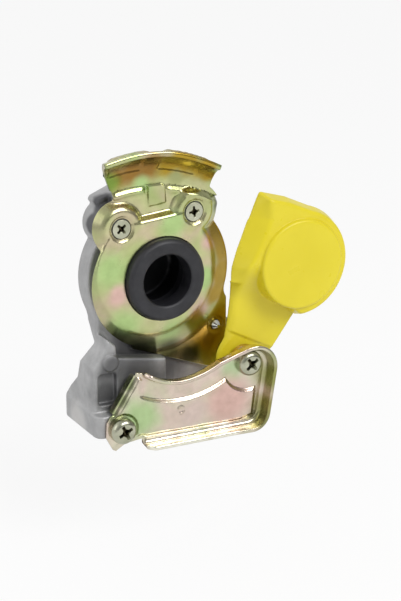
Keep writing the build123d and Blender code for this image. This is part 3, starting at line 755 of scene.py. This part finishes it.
# The lid's left side by Z: the outer edge of its slant, and the slant's width
LID_EDGE = [
    (-38, 20.6), (-34.6, 20.5), (-32.3, 20.9), (-30, 22.0), (-27.2, 24.0), (-20.1, 25.4), (-10.3, 26.7),
    (-4.95, 27.2), (-4.55, 25.4), (1.4, 25.8), (4.4, 26.7), (8.5, 28.0), (12.9, 29.8), (18.1, 31.9),
    (22.8, 34.0), (26.5, 35.7), (29.8, 37.4)]
SLANT_WIDTH = [
    (-36, 2.5), (-25.8, 2.5), (-12.0, 2.4), (-4.95, 2.6), (-4.55, 4.3), (1.3, 4.8), (4.4, 5.8),
    (9.8, 7.0), (15.3, 7.5), (19.7, 7.8), (25.0, 5.0), (29.8, 2.6)]
LID_ARM = [(14, 20), (36, 20), (60, -14), (54.6, -21.6), (45.2, -34)]
# The seat round the bush lies beyond a line: a point of it and the direction across it
SEAT_LINE, SEAT_ACROSS = (27.6, -24.3), (0.462, 0.887)
SEAT_STEP = 0.6
# The sealing pad meets the seal when the lid is shut
SEALING_PAD, PAD_RADIUS = (55.63, 5.71), 11.5
HOLLOW = 14.9
ARM_REACH = 31.5
BARREL, BARREL_BORE = 6.4, 4.1


def evened(v):
    return np.concatenate([v[:1], (v[:-2] + 2 * v[1:-1] + v[2:]) / 4, v[-1:]])


def cap_loop(top, rim):
    """The cap's outline: top, round rim, and the side towards the arm."""
    crest = 48.5
    edge = [top, (crest, top[1] + 0.9 - 0.37 * (crest - top[0]))]
    below = fan(DISC, 16.6, -108, -172, 20) + [(34.0, 3.6), (20.0, 4.2), (20.0, 20)]
    return edge + fan(DISC, rim, 74, -88, 60) + below


def lid_distance(x, f, z):
    """Signed distance of the lid from X, F, Z in mm."""
    at = across, up = x[:, 0], z[0]
    height = up[0]
    edge, width = evened(curve(height, LID_EDGE)), evened(curve(height, SLANT_WIDTH))
    base = 0.4 + 3.4 * step(height, -4.9, -4.6)
    top = 2.5 + 7.5 * step(height, -13.0, 4.0)
    # Left side: a slant from the low edge up to the ridge
    rise = (top - base) / width
    slant = (f - (base + (across - edge) * rise)[:, None, :]) / np.sqrt(1 + rise**2)
    # Arm, with a lower seat round the bush
    arm = polygon(*at, LID_ARM + fan(PIVOT, 11.0, -25, -180, 30) + [(20.8, -28), (14, -27)])
    beyond = (across - SEAT_LINE[0]) * SEAT_ACROSS[0] + (up - SEAT_LINE[1]) * SEAT_ACROSS[1]
    level = top - SEAT_STEP * step(-beyond, 0.0, 0.9)[:, None, :]
    high = (f - level) / np.sqrt(1 + np.gradient(top, height)**2)
    body = smax(smax(arm[:, None, :], high, 0.6), 0.4 - f, 0.3)
    # Cap with its flared rim
    share = np.clip((f - CAP_BACK) / CAP_DEEP, 0, 1)
    wide = polygon(*at, cap_loop((37.0, 30.2), 22.0))[:, None, :]
    narrow = polygon(*at, cap_loop((37.6, 28.0), 20.3))[:, None, :]
    lean = np.sqrt(1 + ((narrow - wide) / CAP_DEEP)**2)
    body = smin(body, prism((wide + (narrow - wide) * share) / lean, f, CAP_BACK, CAP_FRONT, 0.9), 0.5)
    body = smax(body, slant, 1.0)
    body = smin(body, upright(circle(*at, DISC, DISC_RADIUS), f, 0.4, 11.8, 1.1), 0.45)
    # Nothing but the arm passes below the seal's level
    reach = circle(*at, PIVOT, ARM_REACH)[:, None, :]
    body = smax(body, -smax(-reach, f - CAP_BACK, 0.1), 0.2)
    # Hollow underside with the sealing pad
    body = smax(body, -upright(circle(*at, DISC, HOLLOW), f, -9, 9.5, 0.8), 0.3)
    body = smin(body, upright(circle(*at, SEALING_PAD, PAD_RADIUS), f, CAP_BACK, 10.2, 0.5), 0.3)
    # Barrel and its bore
    body = smin(body, upright(circle(*at, PIVOT, BARREL), f, -6.3, 1.4, 0.2), 0.3)
    return smax(body, -circle(*at, PIVOT, BARREL_BORE)[:, None, :], 0.15)


cap = solid("lid_moulded", "lid", lid_distance, (12, -7.5, -47), (77, 13, 32), 0.4)
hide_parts("lid")


# Seal ring: rounded lip, slightly tapered bore, groove and back

SEAL_PROFILE = [
    (10.3, 3.25), (10.7, 3.4), (14.0, 3.4), (14.5, 3.3), (15.5, 2.4), (15.8, 1.7), (15.8, -1.9),
    (16.9, -2.1), (16.9, -4.4), (15.0, -4.6), (15.0, -9.9), (11.2, -9.9), (12.2, -7.5), (12.2, -3.6),
    (9.5, -3.4), (9.35, -3.1), (9.9, 2.8)]
seal = turned_piece("seal_moulded", "head", SEAL, SEAL_PROFILE, 128)
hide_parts("seal_ring")


# Shoulder bush of the pivot, its head in front

BUSH_PROFILE = [
    (2.62, -7.5), (4.0, -7.5), (4.0, 2.9), (5.6, 2.9), (6.0, 3.3), (6.0, 5.2), (5.6, 5.7), (2.62, 5.7)]
bush = turned_piece("bush_turned", "head", PIVOT, BUSH_PROFILE, 96)
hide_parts("pivot_bush")


# The spring, a copy of the frame's own mesh

coil = new_object("detent_coil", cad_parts["detent_spring"].data.copy())
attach(coil, "head")
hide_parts("detent_spring")
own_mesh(coil)


# Screws: head, shank, cross recess with half the width of its arms, and the ball in it that is coloured
# darker

SUNK_HEAD = {
    "radius": 3.75, "height": 1.75, "shank": 2.0, "reach": 2.15, "half": 0.42, "deep": 1.7,
    "grime_down": 2.5, "grime": 2.2}
PAN_HEAD = {
    "radius": 5.0, "height": 3.7, "shank": 2.5, "reach": 3.0, "half": 0.62, "deep": 2.5,
    "grime_down": 3.0, "grime": 2.5}
# Node, place, height F of the top, head, length of the shank, turn of the recess, lowest F of its grid
SCREWS = (
    ("face_screw_left", FACE_SCREWS[0], -0.25, SUNK_HEAD, 10.2, 42, -12.6),
    ("face_screw_right", FACE_SCREWS[1], -0.25, SUNK_HEAD, 10.2, 6, -12.6),
    ("guard_screw", GUARD_SCREW, 10.9, PAN_HEAD, 10.4, 25, -3.6),
    ("pivot_screw", PIVOT, 10.9, PAN_HEAD, 23.6, 38, -16.8),
)
SCREW_MARGIN = 0.5


def recess(u, v, depth, head):
    """Cross recess: four arms that narrow with depth, and a cone in the middle."""
    long, thin = head["reach"] - 0.55 * depth, head["half"] - 0.10 * depth
    flat_arm = np.maximum(np.abs(u) - long, np.abs(v) - thin)
    tall_arm = np.maximum(np.abs(v) - long, np.abs(u) - thin)
    cone = (np.hypot(u, v) - (head["reach"] * 0.50 - 0.42 * depth)) * 0.92
    return smax(smin(np.minimum(flat_arm, tall_arm), cone, 0.25), depth - head["deep"], 0.2)


def screw_distance(centre, top, head, length, turn):
    """Signed distance of a screw, as a function of X, F, Z."""
    c, s = around((0, 0), 1, turn)
    radius, height = head["radius"], head["height"]

    def distance(x, f, z):
        dx, dz = x - centre[0], z - centre[1]
        r = np.hypot(dx, dz)
        if head is SUNK_HEAD:
            form = smax(np.maximum((r - radius - (f - top)) * 0.7071, f - top), r - radius, 0.15)
            form = smax(form, top - height - f, 0.1)
        else:
            form = np.maximum(prism(r - radius, f, top - 2 * height, top, height * 0.62), top - height - f)
        shank = prism(r - head["shank"], f, top - height - length, top - 1.0, 0.2)
        cross = recess(dx * c + dz * s, dz * c - dx * s, top - f, head)
        return smax(np.minimum(form, shank), -cross, 0.12)

    return distance


screws = []
for node, centre, top, head, length, turn, low in SCREWS:
    reach = head["radius"] + SCREW_MARGIN
    screw = solid(node + "_turned", "head", screw_distance(centre, top, head, length, turn),
                  (centre[0] - reach, low, centre[1] - reach),
                  (centre[0] + reach, top + SCREW_MARGIN, centre[1] + reach), 0.13)
    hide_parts(node)
    screws.append(screw)


# Shader nodes

MIX_UNDER, MIX_OVER, MIX_RESULT = 6, 7, 2
# How far the edge of a patch of colour wanders, in metres
UNEVEN = 0.006


def fill(tree, node, inputs):
    """Gives a node's inputs values, colours as tuples of three, or outputs of other nodes."""
    for socket, value in inputs.items():
        if isinstance(value, bpy.types.NodeSocket):
            tree.links.new(value, node.inputs[socket])
        else:
            node.inputs[socket].default_value = (*value, 1) if isinstance(value, tuple) else value


def add(tree, kind, inputs):
    node = tree.nodes.new(kind)
    fill(tree, node, inputs)
    return node


def material(name, metal=0.0):
    mat = bpy.data.materials.new(name)
    mat.use_nodes = True
    mat.node_tree.nodes["Principled BSDF"].inputs["Metallic"].default_value = metal
    return mat, mat.node_tree


def place(tree):
    return tree.nodes.new("ShaderNodeTexCoord").outputs["Object"]


def noise(tree, scale, detail=3.0, rough=0.5, distortion=0.0):
    node = add(tree, "ShaderNodeTexNoise", {"Vector": place(tree), "Scale": scale, "Detail": detail})
    fill(tree, node, {"Roughness": rough, "Distortion": distortion})
    return node.outputs["Fac"]


def ramp(tree, source, stops):
    node = tree.nodes.new("ShaderNodeValToRGB")
    while len(node.color_ramp.elements) < len(stops):
        node.color_ramp.elements.new(0.5)
    for element, (position, colour) in zip(node.color_ramp.elements, stops):
        element.position = position
        element.color = (*colour, 1)
    tree.links.new(source, node.inputs["Fac"])
    return node.outputs["Color"]


def mottled(tree, grain, dark, bright):
    return ramp(tree, noise(tree, *grain), [(0.3, dark), (0.7, bright)])


def blend(tree, share, under, over, kind="MIX"):
    node = tree.nodes.new("ShaderNodeMix")
    node.data_type = "RGBA"
    node.blend_type = kind
    fill(tree, node, {"Factor": share, MIX_UNDER: under, MIX_OVER: over})
    return node.outputs[MIX_RESULT]


def arithmetic(tree, operation, *values):
    node = tree.nodes.new("ShaderNodeMath")
    node.operation = operation
    fill(tree, node, dict(enumerate(values)))
    return node.outputs["Value"]


def map_range(tree, source, start=(0, 1), end=(0, 1), kind="LINEAR"):
    node = tree.nodes.new("ShaderNodeMapRange")
    node.interpolation_type = kind
    fill(tree, node, {"Value": source, "From Min": start[0], "From Max": start[1], "To Min": end[0],
                      "To Max": end[1]})
    return node.outputs["Result"]


def gap_to(tree, centre):
    """Distance in metres from a place given as X, F, Z in mm."""
    node = tree.nodes.new("ShaderNodeVectorMath")
    node.operation = "DISTANCE"
    fill(tree, node, {0: place(tree), 1: row([centre])[0].tolist()})
    return node.outputs["Value"]


def patch(tree, centre, inner, outer):
    """Share of 1 within the inner distance of a place, 0 beyond the outer, its edge uneven; in mm."""
    uneven = arithmetic(tree, "MULTIPLY_ADD", noise(tree, 90, 3.0, 0.55), UNEVEN, gap_to(tree, centre))
    return map_range(tree, uneven, (outer / 1000 + UNEVEN / 2, inner / 1000 + UNEVEN / 2), kind="SMOOTHSTEP")


def ball(tree, centre, radius):
    """Share of 1 inside a ball given in mm, with a narrow soft edge."""
    ends = ((radius + 0.15) / 1000, (radius - 0.25) / 1000)
    return map_range(tree, gap_to(tree, centre), ends, kind="SMOOTHSTEP")


def paint(tree, colour, spots):
    """Tints laid over a colour, each round its places: X, F, Z, inner and outer distance in mm."""
    for tint, places in spots:
        for *centre, inner, outer in places:
            colour = blend(tree, patch(tree, centre, inner, outer), colour, tint)
    return colour


def surface(tree, colour, wear, rough, skin, strength, depth):
    """Colour, a range of roughness and a fine skin; wear and skin are values of noises."""
    skin = noise(tree, *skin)
    relief = add(tree, "ShaderNodeBump", {"Strength": strength, "Distance": depth, "Height": skin})
    fill(tree, tree.nodes["Principled BSDF"], {
        "Base Color": colour, "Roughness": map_range(tree, noise(tree, *wear), end=rough),
        "Normal": relief.outputs["Normal"]})


# Chromate film: its ground, and the tints, painted shade and painted highlights laid over it

BROWN, GOLD, AMBER, DARK = (0.36, 0.20, 0.05), (0.48, 0.32, 0.04), (0.50, 0.34, 0.07), (0.12, 0.125, 0.065)
PINK, ROSE, CREAM = (0.74, 0.50, 0.44), (0.74, 0.60, 0.54), (1.0, 0.97, 0.84)
GREEN, LEAF, OLIVE, SAND_SHADE = (0.46, 0.62, 0.26), (0.24, 0.36, 0.07), (0.42, 0.44, 0.20), (0.46, 0.44, 0.27)
PALE_GREEN, SOFT_GREEN, SHADE = (0.50, 0.66, 0.34), (0.52, 0.64, 0.38), (0.24, 0.27, 0.14)

FACE_FILM = [(0.30, (0.40, 0.54, 0.18)), (0.46, (0.54, 0.56, 0.28)), (0.56, (0.60, 0.52, 0.34)),
             (0.68, (0.52, 0.54, 0.24))]
FACE_SPOTS = [
    # Raised field
    (GREEN, [(-22, 0, 6, 2, 11), (-16, 0, -16, 2, 10), (3, 0, -22, 1, 8), (3, 0, 20, 2, 9)]),
    (PINK, [(20, 0, 12, 1, 6)]),
    (GREEN, [(17, 0, -2, 2, 6)]),
    # Painted shade that dims the highlights on the left lobe
    (SAND_SHADE, [(-28, 1, 25, 2, 7)]),
    (PINK, [(17, 0, -16, 1, 8), (-19, 0, -4, 1, 6)]),
    # Claw, from its lip down to its crease: the film's brown and gold, deepened as a painted reflection of
    # the plate below it
    (BROWN, [(-17, 5, 41, 4, 8), (-8, 5, 44, 5, 9)]),
    (GOLD, [(4, 5, 44, 5, 9), (13, 5, 41, 4, 8)]),
    (BROWN, [(-18, -1, 40, 2, 7), (-12, -1, 41.5, 2, 7.5), (-5, -1, 42.5, 2, 7.5)]),
    (GOLD, [(2, -1, 42.8, 2, 7.5), (8, -1, 42.2, 2, 7.5), (14, -1, 41, 2, 7.5), (19, -1, 38.5, 2, 6)]),
    (LEAF, [(-21, 0, 38, 2, 7)]),
    (GREEN, [(-8, -2, 36.5, 1, 5)]),
    (OLIVE, [(6, -2, 37, 1, 5)]),
    # Right side of the cone and the tail: painted shade, deeper gold and dark where they face the dim right
    (GOLD, [(27, -4, 7, 4, 8), (25, -4, 14, 4, 8), (26, -4, -2, 4, 8), (23, -4, -10, 3, 7)]),
    (DARK, [(25, -2, 25, 1, 5)]),
    (AMBER, [(22, -5, -28, 3, 12)]),
    (GOLD, [(27, -5.5, -20, 2, 9)]),
    # Lower side of the cone: painted shade, dark where it faces down
    (DARK, [(-18, -4, -24, 1, 8), (-8, -5, -29, 3, 10), (4, -5, -31, 2, 9), (13, -5.5, -34, 1, 6)]),
    # Glints along the step below the claw
    (CREAM, [(-8, 1, 24, 0.5, 2.5), (-3, 1, 24.8, 0.5, 2.5), (2, 1, 25.4, 0.5, 2.5)]),
    (CREAM, [(-19, 1, 33, 0.5, 2.5), (-15, 1, 34.3, 0.5, 2.5), (-10, 1, 35.5, 0.5, 2.5)]),
]

GUARD_FILM = [(0.30, (0.60, 0.66, 0.44)), (0.46, (0.74, 0.68, 0.54)), (0.58, (0.76, 0.62, 0.54)),
              (0.70, (0.68, 0.68, 0.48))]
GUARD_SPOTS = [
    # Raised field
    (PALE_GREEN, [(-14, 7.5, -50, 3, 12)]),
    (SOFT_GREEN, [(25, 7, -38, 2, 7)]),
    (PINK, [(22, 7.5, -50, 4, 14)]),
    (ROSE, [(8, 7.5, -52, 2, 9)]),
    # Right flange: painted shade on its inner wall and in its lower corner
    ((0.34, 0.35, 0.12), [(40, 11, -42, 2, 9)]),
    ((0.36, 0.33, 0.12), [(38, 11, -54, 2, 8)]),
    ((0.44, 0.46, 0.24), [(41, 11, -33, 1, 6)]),
    ((0.30, 0.30, 0.12), [(36.5, 10, -58.5, 2, 6)]),
    # Painted shade on the edge bent back, and painted glints along the foot
    (SHADE, [(-25.5, 5, -47, 2, 5), (-22, 5, -42, 2, 5), (-18.5, 5, -36.5, 2, 5)]),
    (CREAM, [(x, 11, -60.6, 2.5, 5) for x in (-8, -2, 4, 10, 16, 22)]),
]


def passivated(name, film, spots):
    """Zinc-plated steel under a yellow chromate film whose colour shifts, with painted shade and painted
    highlights laid over it in spots.
    """
    mat, tree = material(name, metal=1.0)
    colour = paint(tree, ramp(tree, noise(tree, 45, 2.5, 0.5, 0.5), film), spots)
    fine = mottled(tree, (260, 4.0, 0.6), (0.84, 0.84, 0.82), (1.0, 1.0, 1.0))
    colour = blend(tree, 1.0, colour, fine, "MULTIPLY")
    surface(tree, colour, (180, 4.0, 0.6), (0.17, 0.32), (900, 3.0, 0.6), 0.08, 0.0004)
    return mat


# Metals, plastic and rubber

# Colours of painted shade for the slot and front wall, painted shade in the chamber, and painted light low
# on the block
CAST_PAINTED_SHADE, CHAMBER_PAINTED_SHADE, CAST_PAINTED_LIGHT = (0.15, 0.15, 0.153), (0.02, 0.02, 0.023), (0.60, 0.59, 0.58)
# Painted shade on the front wall, in the slot under the plate and in the cored pocket
SLOT_PAINTED_SHADE = [(CAST_PAINTED_SHADE, [
    (-22, 1, -32, 3, 9), (-24, 0, -42, 3, 9), (-12, 0, -34, 4, 12),
    (3, -6, -36, 4, 14), (-10, -6, -26, 4, 12), (-20, 1, -50, 2, 8)])]
# Painted shade on the two fins, and painted light low on the block's left side
FIN_SHADE_AND_FOOT_LIGHT = [
    ((0.09, 0.09, 0.095), [(-22, -8, 30.5, 3.5, 6.5)]),
    ((0.12, 0.12, 0.125), [(-24.5, -8, 22.5, 3, 6)]),
    (CAST_PAINTED_LIGHT, [(-27, -12, -55, 5, 10)]),
]
# The chamber's rear wall, where its painted shade ends: Y in metres
WALL_FRONT, WALL_BACK = 0.0065, 0.0085
RECESS_DARK = (0.07, 0.06, 0.035)


def cast_metal():
    """Die-cast aluminium: dull grey with a fine grain, with painted shade in its recesses, on its fins and
    in the chamber, and painted light low on the block's left side.
    """
    mat, tree = material("cast_aluminium", metal=0.6)
    colour = mottled(tree, (120, 5.0, 0.65), (0.37, 0.37, 0.372), (0.51, 0.51, 0.512))
    # Painted shade in the recesses of the front wall and slot
    colour = paint(tree, colour, SLOT_PAINTED_SHADE)
    # Painted shade makes the chamber dark inside, up to its rear wall; then the fins get painted shade and
    # the block's lower left painted light
    axes = add(tree, "ShaderNodeSeparateXYZ", {"Vector": place(tree)})
    ahead = map_range(tree, axes.outputs["Y"], (WALL_BACK, WALL_FRONT))
    inside = arithmetic(tree, "MULTIPLY", patch(tree, (0, -11, 0), 15, 17), ahead)
    colour = paint(tree, blend(tree, inside, colour, CHAMBER_PAINTED_SHADE), FIN_SHADE_AND_FOOT_LIGHT)
    surface(tree, colour, (300, 4.0, 0.6), (0.42, 0.62), (1500, 4.0, 0.7), 0.35, 0.0003)
    return mat


def yellow_plastic():
    """Glossy moulded plastic with faint flow in its colour and a light orange-peel skin."""
    mat, tree = material("yellow_plastic")
    fill(tree, tree.nodes["Principled BSDF"], {"Specular IOR Level": 0.4})
    colour = mottled(tree, (40, 3.0, 0.5, 0.4), (0.72, 0.60, 0.02), (0.78, 0.66, 0.03))
    surface(tree, colour, (220, 3.0, 0.5), (0.24, 0.34), (420, 2.0, 0.5), 0.08, 0.0004)
    return mat


def black_rubber():
    """Moulded rubber, nearly black, with a fine dusty bloom."""
    mat, tree = material("black_rubber")
    colour = mottled(tree, (150, 4.0, 0.6), (0.011, 0.011, 0.014), (0.024, 0.024, 0.029))
    surface(tree, colour, (400, 3.0, 0.5), (0.38, 0.58), (1600, 3.0, 0.6), 0.12, 0.0003)
    return mat


def plated(name, dark, bright, rough=0.24, hollows=()):
    """Bright plated steel with a slight tint and fine wear, darker inside its hollows."""
    mat, tree = material(name, metal=1.0)
    colour = mottled(tree, (170, 4.0, 0.6, 0.4), dark, bright)
    for centre, radius in hollows:
        colour = blend(tree, ball(tree, centre, radius), colour, RECESS_DARK)
    surface(tree, colour, (500, 3.0, 0.5), (rough * 0.75, rough * 1.3), (1400, 3.0, 0.6), 0.10, 0.0003)
    return mat


casting.data.materials.append(cast_metal())
recesses = [((x, top - head["grime_down"], z), head["grime"]) for _, (x, z), top, head, *_ in SCREWS]
zinc = plated("plated_screw", (0.38, 0.39, 0.28), (0.54, 0.54, 0.42), hollows=recesses)
for screw in screws:
    screw.data.materials.append(zinc)
bush.data.materials.append(plated("plated_bush", (0.50, 0.33, 0.14), (0.66, 0.48, 0.30)))
bare_looks = (
    (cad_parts["pivot_washer"], plated("plated_washer", (0.40, 0.40, 0.39), (0.60, 0.60, 0.58))),
    (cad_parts["detent_pin"], plated("polished_pin", (0.66, 0.68, 0.62), (0.82, 0.84, 0.78), 0.14)),
    (coil, plated("drawn_wire", (0.34, 0.34, 0.34), (0.52, 0.52, 0.52), 0.30)),
)
for piece, metal in bare_looks:
    piece.data.materials.clear()
    piece.data.materials.append(metal)
cap.data.materials.append(yellow_plastic())
seal.data.materials.append(black_rubber())
face.data.materials.append(passivated("passivated_face", FACE_FILM, FACE_SPOTS))
guard.data.materials.append(passivated("passivated_guard", GUARD_FILM, GUARD_SPOTS))


# Floor, which the camera sees nearly white with the shadow kept

FAR, LOW = 6, -0.05
WHITE = (1, 1, 1)

floor_mesh = bpy.data.meshes.new("floor")
corners = [(-FAR, -FAR, LOW), (FAR, -FAR, LOW), (FAR, FAR, LOW), (-FAR, FAR, LOW)]
floor_mesh.from_pydata(corners, [], [(0, 1, 2, 3)])
floor = new_object("floor", floor_mesh)
floor_look, tree = material("floor")
shader = tree.nodes["Principled BSDF"]
fill(tree, shader, {"Base Color": (0.85, 0.85, 0.85), "Roughness": 0.9})
white = add(tree, "ShaderNodeEmission", {"Strength": 1.0})
to_camera = add(tree, "ShaderNodeLightPath", {}).outputs["Is Camera Ray"]
floor_mix = add(tree, "ShaderNodeMixShader", {
    "Fac": arithmetic(tree, "MULTIPLY", to_camera, 0.85),
    1: shader.outputs["BSDF"], 2: white.outputs["Emission"]})
fill(tree, tree.nodes["Material Output"], {"Surface": floor_mix.outputs["Shader"]})
floor.data.materials.append(floor_look)


# World: white to the camera, and dimmer light from the front and the right

world = bpy.data.worlds.new("studio")
bpy.context.scene.world = world
world.use_nodes = True
sky = world.node_tree
direction = add(sky, "ShaderNodeTexCoord", {}).outputs["Generated"]
towards = add(sky, "ShaderNodeSeparateXYZ", {"Vector": direction})
back_left = arithmetic(sky, "MULTIPLY_ADD", towards.outputs["X"], -0.6, towards.outputs["Y"])
light = sky.nodes["Background"]
fill(sky, light, {"Color": WHITE, "Strength": map_range(sky, back_left, (-0.9, 0.7), (0.25, 0.95))})
plain = add(sky, "ShaderNodeBackground", {"Color": WHITE, "Strength": 1.0})
to_camera = add(sky, "ShaderNodeLightPath", {}).outputs["Is Camera Ray"]
sky_mix = add(sky, "ShaderNodeMixShader", {
    "Fac": to_camera, 1: light.outputs["Background"], 2: plain.outputs["Background"]})
fill(sky, sky.nodes["World Output"], {"Surface": sky_mix.outputs["Shader"]})


# Lamps and camera, in metres

AIM = (0.02, -0.015, 0.055)
# The photograph's camera: its own axes and its place
CAMERA_RIGHT = (0.8829, -0.4695, 0.0)
CAMERA_UP = (0.1451, 0.2728, 0.9510)
CAMERA_BACK = (-0.4465, -0.8397, 0.3090)
CAMERA_PLACE = (-0.2666, -0.5688, 0.2501)
LENS = 105.12


def lamp(name, position, size, power):
    data = bpy.data.lights.new(name, "AREA")
    data.shape = "RECTANGLE"
    data.size, data.size_y = size
    data.energy = power
    obj = new_object(name, data)
    obj.location = position
    direction = Vector([to - at for to, at in zip(AIM, position)])
    obj.rotation_euler = direction.to_track_quat("-Z", "Y").to_euler()


lamp("key", (-0.75, -0.12, 0.45), (0.5, 0.5), 0.7)
lamp("front", (0.28, -0.72, 0.65), (0.6, 0.5), 5.7)

camera_data = bpy.data.cameras.new("camera")
camera_data.lens = LENS
camera = new_object("camera", camera_data)
camera.matrix_world = Matrix([*zip(CAMERA_RIGHT, CAMERA_UP, CAMERA_BACK, CAMERA_PLACE), (0, 0, 0, 1)])
bpy.context.scene.camera = camera
bpy.context.scene.view_settings.view_transform = "Standard"
